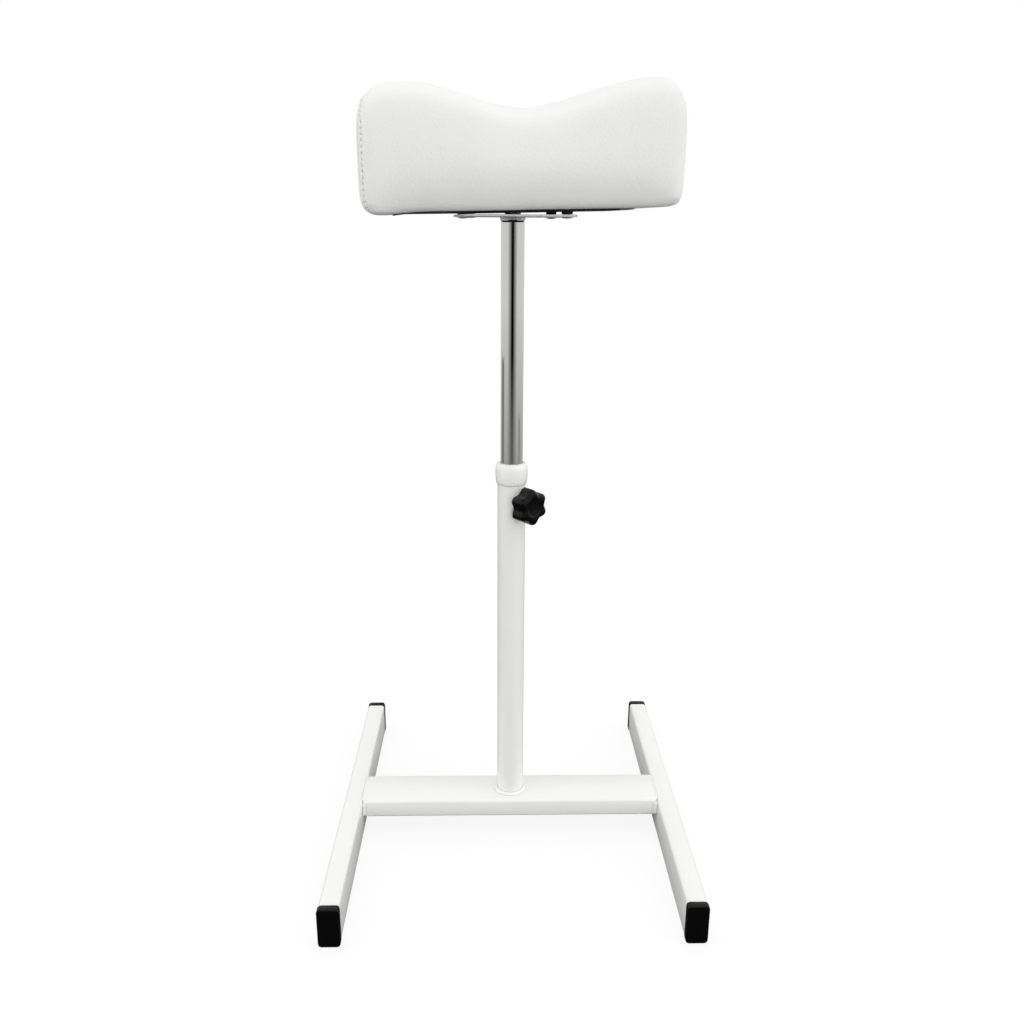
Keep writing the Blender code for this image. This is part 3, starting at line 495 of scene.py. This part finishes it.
def collar_profile():
    """Radii and heights, from the bore's top round the head to the sleeve's foot."""
    inward, down = COLLAR_TOP_ROUND
    seat = collar_top - COLLAR_HEIGHT
    rim = collar_top + COLLAR_DOME
    points = [(SLEEVE_BORE, rim - BORE_EDGE), (SLEEVE_BORE + BORE_EDGE, rim)]
    for turn in quarter_turns(ROUND_STEPS)[1:]:
        level = rim - (down + COLLAR_DOME) * (1 - math.cos(turn))
        points.append((COLLAR_RADIUS - inward * (1 - math.sin(turn)), level))
    points.append((COLLAR_RADIUS + COLLAR_BELLY, (collar_top - down + seat + COLLAR_FOOT_ROUND) / 2))
    for turn in quarter_turns(ROUND_STEPS):
        waist = COLLAR_FOOT_RADIUS + (COLLAR_RADIUS - COLLAR_FOOT_RADIUS) * math.cos(turn)
        points.append((waist, seat + COLLAR_FOOT_ROUND * (1 - math.sin(turn))))
    return points + [(SLEEVE_RADIUS, seat), (SLEEVE_RADIUS, sleeve_foot), (SLEEVE_BORE, sleeve_foot)]


# Glossy white plastic: brighter and smoother than the paint below it, with faint flow marks
moulded_white, tree, shader, place = start_material("white_moulded_polypropylene", "#F4F4F3", 0.28)
shader.inputs["IOR"].default_value = 1.49
clouds = add_node(tree, "TexNoise", {"Vector": place, "Scale": 1 / FLOW_CLOUDS, "Detail": 2.0}).outputs["Fac"]
tint_between(tree, shader, clouds, "#F6F6F5", "#F1F1F0")
vary(tree, shader, "Roughness", clouds, 0.22, 0.34)
emboss(tree, shader, clouds, 0.1, 0.0002)

shape = bmesh.new()
lathe(shape, collar_profile(), TURNED_SIDES)
collar_bush = meshed("collar_bush", shape, moulded_white)
drill = bmesh.new()
bmesh.ops.create_cone(drill, cap_ends=True, segments=TURNED_SIDES, radius1=SHOE_HOLE_RADIUS,
                      radius2=SHOE_HOLE_RADIUS, depth=COLLAR_RADIUS)
bmesh.ops.translate(drill, verts=drill.verts, vec=(0.0, 0.0, COLLAR_RADIUS))
shoe_drill = meshed("shoe_drill", drill, moulded_white)
shoe_drill.matrix_world = clamp_place
hole = collar_bush.modifiers.new("shoe_hole", "BOOLEAN")
hole.object = shoe_drill
bake(collar_bush)
bpy.data.objects.remove(shoe_drill)
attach(collar_bush, "base")
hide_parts("guide_collar")
dress(["guide_ring"], moulded_white)

# Star knob
# A hand knob of black polypropylene with six round lobes, a hub behind and a shallow dish in its face,
# moulded on the clamp screw's end.
KNOB_DIAMETER = 0.037
KNOB_LOBES = 6
KNOB_SCALLOP = 0.0036
KNOB_TURN = math.radians(93)  # of the first lobe
KNOB_FACE = 0.0350  # along the clamp's axis, as all these levels
KNOB_SEAT = 0.0208
KNOB_WEB = 0.0226
KNOB_RIM = 0.0190
HUB_RADIUS = 0.0075
SKIRT_RADIUS = 0.0112  # the hollow round the hub clears the column's boss
KNOB_BACK_ROUND = 0.0015
KNOB_FACE_ROUND = 0.0045
KNOB_SIDES = 144
DISH_RADIUS = 0.0085
DISH_DEPTH = 0.0008


def knob_rings():
    """Rings from the hub to the dish: whether one follows the lobes, its inset or radius, and its level."""
    rings = [(False, HUB_RADIUS, KNOB_SEAT), (False, HUB_RADIUS, KNOB_WEB)]
    rings += [(False, SKIRT_RADIUS, KNOB_WEB), (False, SKIRT_RADIUS, KNOB_RIM)]
    for turn in quarter_turns(ROUND_STEPS):
        level = KNOB_RIM + KNOB_BACK_ROUND * (1 - math.cos(turn))
        rings.append((True, KNOB_BACK_ROUND * (1 - math.sin(turn)), level))
    for turn in quarter_turns(ROUND_STEPS):
        level = KNOB_FACE - KNOB_FACE_ROUND * (1 - math.sin(turn))
        rings.append((True, KNOB_FACE_ROUND * (1 - math.cos(turn)), level))
    for i in range(ROUND_STEPS + 1):
        share = i / ROUND_STEPS
        sunk = (1 - math.cos(math.pi * share)) / 2
        rings.append((False, DISH_RADIUS + DISH_DEPTH * (1 - 2 * share), KNOB_FACE - DISH_DEPTH * sunk))
    return rings


shape = bmesh.new()
rings = []
for lobed, size, level in knob_rings():
    ring = []
    for turn in round_turns(KNOB_SIDES):
        wave = math.cos(KNOB_LOBES * (turn - KNOB_TURN))
        radius = (KNOB_DIAMETER - KNOB_SCALLOP + KNOB_SCALLOP * wave) / 2 - size if lobed else size
        ring.append(shape.verts.new((radius * math.cos(turn), radius * math.sin(turn), level)))
    rings.append(ring)
join_rings(shape, rings)
hand_knob = meshed("hand_knob", shape, moulded_black)
hand_knob.matrix_world = clamp_place
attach(hand_knob, "clamp_knob")
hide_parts("star_knob")

# Clamp screw and shoe
# The knob's screw is zinc plated steel. It presses a small turned shoe of natural nylon against the mast, so
# that the chrome isn't scratched.
ZINC_SPANGLE = 0.004
NYLON_CLOUDS = 0.002

# Dull zinc plate: a pale grey metal with a soft shine, uneven from one patch of crystals to the next
zinc, tree, shader, place = start_material("dull_zinc_plated_steel", "#DCDDDE", 0.54, 0.6)
spangle = add_node(tree, "TexVoronoi", {"Vector": place, "Scale": 1 / ZINC_SPANGLE}).outputs["Distance"]
tint_between(tree, shader, spangle, "#E2E3E4", "#D2D3D4")
vary(tree, shader, "Roughness", spangle, 0.46, 0.62)
emboss(tree, shader, spangle, 0.05, 0.0002)

# Natural nylon: milky and matt, with faint turning clouds
nylon, tree, shader, place = start_material("natural_nylon", "#D9D6CC", 0.5)
shader.inputs["IOR"].default_value = 1.53
clouds = add_node(tree, "TexNoise", {
    "Vector": place, "Scale": 1 / NYLON_CLOUDS, "Detail": 2.0}).outputs["Fac"]
tint_between(tree, shader, clouds, "#DEDBD2", "#D2CFC4")
vary(tree, shader, "Roughness", clouds, 0.42, 0.58)

dress(["clamp_screw"], zinc)
dress(["clamp_shoe"], nylon)

# Mast
# A drawn steel tube, ground, polished and chrome plated. It slides in the column and turns with the cushion.
# Black plastic plugs close its ends, and the upper one carries the plate's bolt.
DRAW_LINES = (0.0012, 0.080)  # across and along the tube

# Polished chrome: a mirror for the studio, blurred a little along faint draw lines
chrome, tree, shader, place = start_material("polished_chrome_plate", "#C6C6C5", 0.06, 1.0)
stretched = add_node(tree, "Mapping", {
    "Vector": place, "Scale": (1 / DRAW_LINES[0], 1 / DRAW_LINES[0], 1 / DRAW_LINES[1])})
lines = add_node(tree, "TexNoise", {
    "Vector": stretched.outputs[0], "Scale": 1.0, "Detail": 1.0}).outputs["Fac"]
vary(tree, shader, "Roughness", lines, 0.03, 0.11)
emboss(tree, shader, lines, 0.02, 0.0001)

dress(["mast_tube"], chrome)
dress(["mast_end_plug", "mast_insert"], moulded_black)

# Top plate
# A square of zinc plated sheet on a turned boss, bolted to the mast's end. Four low-headed screws go up
# through it into tee nuts in the cushion's board.
corners = [f"{end}_{side}" for end in ENDS for side in SIDES]
dress(["plate_boss", "top_plate", "centre_bolt"], zinc)
dress([f"plate_screw_{corner}" for corner in corners] + [f"tee_nut_{corner}" for corner in corners], zinc)

# Spacers
# Four short bushes of black rubber on the plate's screws carry the cushion clear of the plate. The right-hand
# pair stands taller than the left-hand one, so the cushion's foot rises a little to the right.
HEAD_TURN = math.radians(6)
CUSHION_PLACE = (0.002, 0.0, 0.6503)  # the middle of its foot, before the head's turn
FOOT_SLOPE = 0.0225
FIXING_REACH = 0.043
SPACER_BORE = 0.0033
SPACER_RADIUS = 0.0048
SPACER_BULGE = 0.0003
SPACER_CLEARANCE = 0.0003
SPACER_STEPS = 8
RUBBER_BLOOM = 0.003

plate_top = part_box("top_plate")[1][2]
head_turn = Matrix.Rotation(HEAD_TURN, 4, "Z")
head_place = head_turn @ Matrix.Translation(CUSHION_PLACE)


def foot_level(x):
    """Height of the cushion's foot at x, before the head's turn."""
    return CUSHION_PLACE[2] + (x - CUSHION_PLACE[0]) * FOOT_SLOPE


# Soft rubber: black and matt, with a greyish bloom here and there
rubber, tree, shader, place = start_material("black_rubber", "#101010", 0.8)
bloom = add_node(tree, "TexNoise", {"Vector": place, "Scale": 1 / RUBBER_BLOOM, "Detail": 3.0}).outputs["Fac"]
tint_between(tree, shader, bloom, "#0B0B0B", "#181818")
vary(tree, shader, "Roughness", bloom, 0.70, 0.90)
emboss(tree, shader, bloom, 0.15, 0.0002)

for end in ENDS:
    for side in SIDES:
        x = -FIXING_REACH if side == "left" else FIXING_REACH
        y = -FIXING_REACH if end == "front" else FIXING_REACH
        foot = plate_top + SPACER_CLEARANCE
        top = foot_level(x - SPACER_RADIUS) - SPACER_CLEARANCE
        profile = [(SPACER_BORE, top), (SPACER_BORE, foot)]
        for i in range(SPACER_STEPS + 1):
            share = i / SPACER_STEPS
            radius = SPACER_RADIUS + SPACER_BULGE * math.sin(math.pi * share)
            profile.append((radius, foot + (top - foot) * share))
        shape = bmesh.new()
        lathe(shape, profile, TURNED_SIDES)
        bush = meshed(f"bush_{end}_{side}", shape, rubber)
        bush.matrix_world = head_turn @ Matrix.Translation((x, y, 0.0))
        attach(bush, "head")
        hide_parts(f"spacer_{end}_{side}")

# Cushion
# Firm foam on a board under white leatherette. One length wraps its front, top and back, and the side panels
# are sewn to that with a topstitched seam. The cover is drawn tight over the foam and stapled to the board.
CUSHION_DEPTH = 0.144
DIP_PLACE = 0.003
DIP_HEIGHT = 0.0808
FRONT_ROUND = 0.020  # between the front and the top
FRONT_LEAN = 0.0015  # how far the front leans in, up to that round
ROUND_MIDDLE = (0.3, 0.35)  # shares of the round, inward and down, at its middle
CROWN = (0.002, 0.003)  # how far the top rises behind the round and in its middle
UNDERSIDE_EDGE = 0.030  # from the front inward to the underside's middle
FOOT_EDGE = 0.0045  # over which the underside turns up into the front
EDGE_ROUND = 0.013  # between the front and the side panels
TUCK = (  # how far the front falls inward near its foot, and the heights
    (0.0125, 0.0), (0.0103, 0.003), (0.0067, 0.009), (0.0029, 0.018), (0.0007, 0.027), (0.0, 0.036))
TUCK_REACH = 0.036  # the fall eases over this length to the ends, as the cover's folds fill the corners out
TUCK_EASE = 0.8
END_FORMS = {  # half width, crest's place and height, shoulder's reach and drop, foot's taper, seam's angle
    -1: (0.1410, 0.096, 0.1032, 0.029, 0.030, 0.001, math.radians(46)),
    1: (0.1420, 0.119, 0.1072, 0.0190, 0.034, 0.0012, math.radians(76)),
}
FOOT_ENDS = {  # the round of the foot's ends, and their droop's start, length and depth (less than 0 rises)
    -1: (0.0125, 0.095, 0.020, 0.0016),
    1: (0.0095, 0.094, 0.030, -0.0007),
}
TAPER_POWER = 5  # how near to the ends the foot's taper is
DROOP_POWER = 3  # how soon the droop ends on the way up
STATION_PITCH = 0.014
END_INSETS = (0.030, 0.024, 0.018, 0.0135, 0.010, 0.007, 0.0045, 0.0025, 0.001, 0.0)  # of the closer stations
SKIN_GRID = 0.0036  # the cover's mesh while it is blown up
SWELL_PRESSURE = 4.0
COVER_STIFFNESS = 60.0
COVER_BENDING = 15.0
SWELL_FRAMES = 20
SWELL_LIMIT = 0.003
RELAX_ROUNDS = 12
SEAM_HOLD = 0.005  # the cover is held this near to a seam
SEAM_INSET = 0.020  # of the line from which a seam's place on the skin is looked for
SEAM_FOOT = 0.003
SEAM_TOP_ANGLE = math.radians(68)  # to which the seams turn on the way to the top
SEAM_TURN_POWER = 10  # how late on that way
SEAM_PARTS = 30  # of each of its uprights, corners and half tops
SEAM_STEP = 0.0004
SEAM_WIDTH = 0.0024
SEAM_DEPTH = 0.0004
FINE_BAND = 0.0045  # on each side of a seam, where the mesh is made fine enough for it
FINE_ROUNDS = 2
STITCH_PITCH = 0.0048
STITCH_LENGTH = 0.0036
THREAD = 0.00045  # its radius
HOLE_RADIUS = 0.0016
HOLE_DEPTH = 0.0013
LEATHER_GRAIN = 0.0022  # between its pebbles, drawn about twice as coarse as they are
LEATHER_CLOUDS = 0.035


def crest(x):
    """Height of the cushion's top at x, less its rounded shoulders."""
    _, place, height, *_ = END_FORMS[1 if x > DIP_PLACE else -1]
    share = min(abs(x - DIP_PLACE) / (place - math.copysign(DIP_PLACE, x)), 1.0)
    return DIP_HEIGHT + (height - DIP_HEIGHT) * (1 - math.cos(math.pi * share)) / 2


def fall(x, half_width, reach, drop):
    """How far an elliptic edge has fallen at x, on the way to a side panel."""
    share = min(max(abs(x) - half_width + reach, 0.0) / reach, 1.0)
    return drop * (1 - math.sqrt(1 - share ** 2))


def droop(x):
    """How far the cushion's foot hangs below its line at x, where the cover is turned in round the board."""
    _, start, length, depth = FOOT_ENDS[1 if x > 0 else -1]
    share = min(max((abs(x) - start) / length, 0.0), 1.0)
    return depth * share ** 2 * (3 - 2 * share)


def half_section(x, height):
    """Depth and height round the front at x, from the middle of the underside to the middle of the top."""
    half = CUSHION_DEPTH / 2
    from_end = END_FORMS[1 if x > 0 else -1][0] - abs(x)
    share = max(1 - from_end / TUCK_REACH, 0.0)
    tuck = 1 - TUCK_EASE * share ** 2 * (3 - 2 * share)
    lower = [(half - inward * tuck, z) for inward, z in TUCK]
    underside = [(0.0, 0.0), (half - UNDERSIDE_EDGE, 0.0), (lower[0][0] - FOOT_EDGE, 0.0)]
    upper = [
        (half, height - 2 * FRONT_ROUND),
        (half - FRONT_LEAN, height - FRONT_ROUND),
        (half - ROUND_MIDDLE[0] * FRONT_ROUND, height - ROUND_MIDDLE[1] * FRONT_ROUND),
        (half - FRONT_ROUND, height),
        (half - 2 * FRONT_ROUND, height + CROWN[0]),
        (0.0, height + CROWN[1]),
    ]
    return underside + lower + upper


def cushion_cage():
    """Sections along the width, joined to a closed cage."""
    stations = []
    for side in (-1, 1):
        half_width = END_FORMS[side][0]
        pitches = int((half_width - END_INSETS[0]) / STATION_PITCH)
        stations += [side * STATION_PITCH * (i + 0.5) for i in range(pitches)]
        stations += [side * (half_width - inset) for inset in END_INSETS]
    cage = bmesh.new()
    rings = []
    for x in sorted(stations):
        half_width, _, _, reach, drop, taper, _ = END_FORMS[1 if x > 0 else -1]
        height = crest(x)
        front = half_section(x, height)
        top_fall = fall(x, half_width, reach, drop)
        foot_round = FOOT_ENDS[1 if x > 0 else -1][0]
        foot_rise = fall(x, half_width, foot_round, foot_round)
        narrower = 1 - fall(x, half_width, EDGE_ROUND, EDGE_ROUND) / (CUSHION_DEPTH / 2)
        ring = []
        for y, z in [(-y, z) for y, z in front] + list(reversed(front[1:-1])):
            level = foot_rise + z * (height - top_fall - foot_rise) / height
            lean_in = taper * (1 - level / height) * (x / half_width) ** TAPER_POWER
            hang = droop(x) * (1 - level / height) ** DROOP_POWER
            ring.append(cage.verts.new((x - lean_in, y * narrower, level + x * FOOT_SLOPE - hang)))
        rings.append(ring)
    join_rings(cage, rings)
    return cage


def seam_path(side, mesh):
    """Points of the seam round a side panel at even small steps, each with the skin's normal there."""
    skin = BVHTree.FromPolygons([v.co for v in mesh.vertices], [p.vertices for p in mesh.polygons])
    half_width, *_, angle = END_FORMS[side]
    x = side * (half_width - SEAM_INSET)
    half = CUSHION_DEPTH / 2 - SEAM_INSET
    rim = crest(x) - SEAM_INSET
    upright = [
        (-half, SEAM_FOOT + (rim - SEAM_FOOT) * i / SEAM_PARTS, -1.0, 0.0) for i in range(SEAM_PARTS)]
    corner = [(-half, rim, -math.cos(t), math.sin(t)) for t in quarter_turns(SEAM_PARTS)[:-1]]
    across = [(-half + half * i / SEAM_PARTS, rim, 0.0, 1.0) for i in range(SEAM_PARTS + 1)]
    front = upright + corner + across
    hits = []
    for y, z, out, up in front + [(-y, z, -out, up) for y, z, out, up in reversed(front[:-1])]:
        origin = Vector((x, y, z + x * FOOT_SLOPE))
        aside = angle + (SEAM_TOP_ANGLE - angle) * (z / rim) ** SEAM_TURN_POWER
        ray = Vector((side * math.sin(aside), out * math.cos(aside), up * math.cos(aside)))
        hits.append(skin.ray_cast(origin, ray)[0])
    path = []
    carried = 0.0
    for first, second in zip(hits, hits[1:]):
        length = (second - first).length
        while carried <= length:
            near = skin.find_nearest(first.lerp(second, carried / length))
            path.append((near[0], near[1]))
            carried += SEAM_STEP
        carried -= length
    return path


def point_tree(points):
    """A tree that finds the nearest of some points."""
    tree = KDTree(len(points))
    for i, point in enumerate(points):
        tree.insert(point, i)
    tree.balance()
    return tree


def swell(piece, held):
    """Blows the cover up against the points that are held, no further than firm foam lets it."""
    group = piece.vertex_groups.new(name="held")
    group.add(held, 1.0, "REPLACE")
    start = [v.co.copy() for v in piece.data.vertices]
    cloth = piece.modifiers.new("cloth", "CLOTH")
    cloth.settings.vertex_group_mass = "held"
    cloth.settings.tension_stiffness = COVER_STIFFNESS
    cloth.settings.compression_stiffness = COVER_STIFFNESS
    cloth.settings.shear_stiffness = COVER_STIFFNESS
    cloth.settings.bending_stiffness = COVER_BENDING
    cloth.settings.use_pressure = True
    cloth.settings.uniform_pressure_force = SWELL_PRESSURE
    cloth.settings.effector_weights.gravity = 0.0
    cloth.collision_settings.use_collision = False
    for step in range(1, SWELL_FRAMES + 1):
        bpy.context.scene.frame_set(step)
    bake(piece)
    bpy.context.scene.frame_set(1)
    for vertex, place in zip(piece.data.vertices, start):
        move = vertex.co - place
        if move.length > SWELL_LIMIT:
            vertex.co = place + move * (SWELL_LIMIT / move.length)
    piece.vertex_groups.clear()


# White vinyl on cloth: a soft satin sheen broken by an embossed pebble grain, with faint clouds in its white
leatherette, tree, shader, place = start_material("white_vinyl_leatherette", "#F1F1F0", 0.5)
pebbles = add_node(tree, "TexVoronoi", {"Vector": place, "Scale": 1 / LEATHER_GRAIN}).outputs["Distance"]
clouds = add_node(tree, "TexNoise", {
    "Vector": place, "Scale": 1 / LEATHER_CLOUDS, "Detail": 3.0}).outputs["Fac"]
tint_between(tree, shader, clouds, "#F3F3F2", "#EEEEED")
vary(tree, shader, "Roughness", pebbles, 0.42, 0.56)
emboss(tree, shader, pebbles, 0.35, 0.0005)

cushion = meshed("cushion", cushion_cage(), leatherette)
smooth = cushion.modifiers.new("smooth", "SUBSURF")
smooth.levels = 2
grid = cushion.modifiers.new("grid", "REMESH")
grid.mode = "VOXEL"
grid.voxel_size = SKIN_GRID
bake(cushion)

seams = {side: seam_path(side, cushion.data) for side in (-1, 1)}
seam_tree = point_tree([point for path in seams.values() for point, _ in path])
held = [
    v.index for v in cushion.data.vertices
    if v.co.z - v.co.x * FOOT_SLOPE < SKIN_GRID / 2 or seam_tree.find(v.co)[2] < SEAM_HOLD
]
swell(cushion, held)
relax = cushion.modifiers.new("relax", "SMOOTH")
relax.iterations = RELAX_ROUNDS
finer = cushion.modifiers.new("finer", "SUBSURF")
finer.levels = 1
bake(cushion)

seams = {side: seam_path(side, cushion.data) for side in (-1, 1)}
seam_tree = point_tree([point for path in seams.values() for point, _ in path])
skin = bmesh.new()
skin.from_mesh(cushion.data)
for _ in range(FINE_ROUNDS):
    near = [e for e in skin.edges if seam_tree.find((e.verts[0].co + e.verts[1].co) / 2)[2] < FINE_BAND]
    bmesh.ops.subdivide_edges(skin, edges=near, cuts=1, use_grid_fill=True)
skin.normal_update()
stitch_steps = round(STITCH_PITCH / SEAM_STEP)
hole_tree = point_tree([point for path in seams.values() for point, _ in path[::stitch_steps]])
for vertex in skin.verts:
    from_seam = seam_tree.find(vertex.co)[2] / (SEAM_WIDTH / 2)
    from_hole = hole_tree.find(vertex.co)[2] / HOLE_RADIUS
    depth = SEAM_DEPTH * max(1 - from_seam ** 2, 0.0) ** 2 + HOLE_DEPTH * max(1 - from_hole ** 2, 0.0) ** 2
    vertex.co -= vertex.normal * depth
skin.to_mesh(cushion.data)
skin.free()
cushion.data.shade_smooth()
cushion.data.materials.clear()
cushion.data.materials.append(leatherette)
cushion.matrix_world = head_place
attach(cushion, "head")
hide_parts("cushion_cover", "cushion_foam")

# Stitches
# White polyester thread in a lockstitch along both seams. Each stitch is drawn down at its ends, into the
# dimples that the needle left in the cover.
STITCH_RISE = 2.2  # radii of the thread, from a stitch's ends to its middle
STITCH_SINK = 2.0  # radii of the thread, from the cover down to a stitch's ends
STITCH_RINGS = 6
THREAD_SIDES = 8
THREAD_TWIST = 0.0012


def stitch(shape, points):
    """A short thread along some of a seam's points, sunk at its ends."""
    rings = []
    for i in range(STITCH_RINGS + 1):
        share = i / STITCH_RINGS
        point, normal = points[round(share * (len(points) - 1))]
        along = (points[-1][0] - points[0][0]).normalized()
        across = along.cross(normal).normalized()
        centre = point + normal * THREAD * (STITCH_RISE * math.sin(math.pi * share) - STITCH_SINK)
        rings.append([
            shape.verts.new(centre + (across * math.cos(t) + normal * math.sin(t)) * THREAD)
            for t in round_turns(THREAD_SIDES)])
    join_rings(shape, rings)


# Twisted polyester: a soft white with the twist's fine ridges
thread, tree, shader, place = start_material("white_polyester_thread", "#E9E9E6", 0.6)
twist = add_node(tree, "TexWave", {"Vector": place, "Scale": 1 / THREAD_TWIST}, bands_direction="DIAGONAL")
tint_between(tree, shader, twist.outputs["Fac"], "#EDEDEA", "#DDDDD9")
emboss(tree, shader, twist.outputs["Fac"], 0.3, 0.0001)

stitches = bmesh.new()
length = round(STITCH_LENGTH / SEAM_STEP)
for path in seams.values():
    for first in range((stitch_steps - length) // 2, len(path) - length, stitch_steps):
        stitch(stitches, path[first:first + length + 1])
stitching = meshed("cushion_stitches", stitches, thread)
stitching.matrix_world = head_place
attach(stitching, "head")

# Cushion board
# A sawn board of birch plywood under the foam, with its edges just broken. It lies along the cushion's
# sloping foot, and the cover is stapled to it.
BOARD_SIZE = (0.240, 0.104, 0.009)
BOARD_LIFT = 0.002
BOARD_EDGE = 0.0006
VENEER_GRAIN = (0.090, 0.0022)  # along and across the face veneer

# Raw birch: pale and matt, with long faint streaks of grain
plywood, tree, shader, place = start_material("raw_birch_plywood", "#C9A878", 0.7)
stretched = add_node(tree, "Mapping", {
    "Vector": place, "Scale": (1 / VENEER_GRAIN[0], 1 / VENEER_GRAIN[1], 1 / VENEER_GRAIN[1])})
grain = add_node(tree, "TexNoise", {
    "Vector": stretched.outputs[0], "Scale": 1.0, "Detail": 3.0}).outputs["Fac"]
tint_between(tree, shader, grain, "#D3B487", "#BB9766")
vary(tree, shader, "Roughness", grain, 0.62, 0.80)
emboss(tree, shader, grain, 0.2, 0.0002)

board = bmesh.new()
bmesh.ops.create_cube(board, size=1.0)
for vertex in board.verts:
    x, y, z = (share * size for share, size in zip(vertex.co, BOARD_SIZE))
    vertex.co = (x, y, z + BOARD_SIZE[2] / 2 + BOARD_LIFT + x * FOOT_SLOPE)
bmesh.ops.bevel(board, geom=board.edges[:], offset=BOARD_EDGE, segments=2, affect="EDGES")
seat_board = meshed("seat_board", board, plywood)
seat_board.data.shade_flat()
seat_board.matrix_world = head_place
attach(seat_board, "head")
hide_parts("cushion_board")

# Dust cover
# A thin black non-woven cloth, stapled over the turned-in leatherette under the cushion. It is cut out round
# the bolt and the spacers. It hangs down a little over the plate and near the right end. Under the plate its
# black
# is partly painted shade: it stands in for the dark band of the shaded gap between plate and cushion.
CLOTH_SIZE = (0.214, 0.106)
CLOTH_SHIFT = -0.005  # of its middle, to the left
CLOTH_CORNER = 0.012
CLOTH_THICKNESS = 0.0005
CLOTH_GAP = 0.0001  # between it and the cushion's foot
CLOTH_PITCH = 0.006
CORNER_STEPS = 8
BOLT_HOLE = 0.010
SPACER_HOLE = 0.0056
HOLE_STEPS = 32
HOLE_MARGIN = 0.002
INSIDE_WITH_HOLES = 4  # which of the faces between the outlines are made
CUT_TOLERANCE = 1e-6
# The first sag spans the plate and is painted shade for the shaded gap above the plate; the cloth itself is
# real
SAGS = ((0.0045, 0.0009, 0.052), (0.088, 0.0008, 0.012))  # place, drop and half length
SAG_POWER = 6  # how flat a sag is along its middle
SAG_EDGE_SHARE = 0.3  # by which the cloth sags less at its front and rear edges
SAG_EDGE_POWER = 4  # how near to those edges that starts
FIBRES = 0.0012

# Non-woven polypropylene: a dull near-black felt of pressed fibres
cloth, tree, shader, place = start_material("black_non_woven_cloth", "#0B0B0B", 0.9)
shader.inputs["Sheen Weight"].default_value = 0.1
fibres = add_node(tree, "TexNoise", {
    "Vector": place, "Scale": 1 / FIBRES, "Detail": 4.0, "Distortion": 1.5}).outputs["Fac"]
tint_between(tree, shader, fibres, "#070707", "#121212")
vary(tree, shader, "Roughness", fibres, 0.80, 0.98)
emboss(tree, shader, fibres, 0.4, 0.0003)


def circle(x, y, radius):
    """A hole's outline."""
    return [Vector((x + radius * math.cos(t), y + radius * math.sin(t))) for t in round_turns(HOLE_STEPS)]


def cloth_outline():
    """The cloth's rounded rectangle, walked round once."""
    points = []
    for quarter, (right, rear) in enumerate(((1, 1), (-1, 1), (-1, -1), (1, -1))):
        centre = Vector((
            right * (CLOTH_SIZE[0] / 2 - CLOTH_CORNER), rear * (CLOTH_SIZE[1] / 2 - CLOTH_CORNER)))
        centre.x += CLOTH_SHIFT
        for i in range(CORNER_STEPS + 1):
            turn = math.pi / 2 * (quarter + i / CORNER_STEPS)
            points.append(centre + Vector((math.cos(turn), math.sin(turn))) * CLOTH_CORNER)
    return points


def sag(x, y):
    """How far the cloth hangs below the cushion's foot."""
    drop = CLOTH_GAP
    for place, most, half_length in SAGS:
        share = (x - place) / half_length
        less = (2 * y / CLOTH_SIZE[1]) ** SAG_EDGE_POWER * SAG_EDGE_SHARE
        drop += most * math.exp(-share ** SAG_POWER) * (1 - less)
    return drop


centre_x = CUSHION_PLACE[0]
reaches = (-FIXING_REACH, FIXING_REACH)
cuts = [(-centre_x, 0.0, BOLT_HOLE)]
cuts += [(x - centre_x, y, SPACER_HOLE) for x in reaches for y in reaches]
points = []
edges = []
for loop in [cloth_outline()] + [circle(*cut) for cut in cuts]:
    first = len(points)
    points += loop
    edges += [(first + i, first + (i + 1) % len(loop)) for i in range(len(loop))]
half_x, half_y = (int((size / 2 - HOLE_MARGIN) / CLOTH_PITCH) for size in CLOTH_SIZE)
for i in range(-half_x, half_x + 1):
    for j in range(-half_y, half_y + 1):
        point = Vector((i * CLOTH_PITCH + CLOTH_SHIFT, j * CLOTH_PITCH))
        if all((point - Vector(cut[:2])).length > cut[2] + HOLE_MARGIN for cut in cuts):
            points.append(point)
flat_points, _, flat_faces, *_ = delaunay_2d_cdt(points, edges, [], INSIDE_WITH_HOLES, CUT_TOLERANCE)
sheet = bmesh.new()
for x, y in flat_points:
    sheet.verts.new((x, y, x * FOOT_SLOPE - droop(x) - sag(x, y)))
sheet.verts.ensure_lookup_table()
for face in flat_faces:
    sheet.faces.new([sheet.verts[i] for i in face])
cut_area = sum(face.calc_area() for face in sheet.faces)
dust_sheet = meshed("dust_sheet", sheet, cloth)
thick = dust_sheet.modifiers.new("thick", "SOLIDIFY")
thick.thickness = CLOTH_THICKNESS
bake(dust_sheet)
dust_sheet.matrix_world = head_place
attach(dust_sheet, "head")
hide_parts("dust_cover")
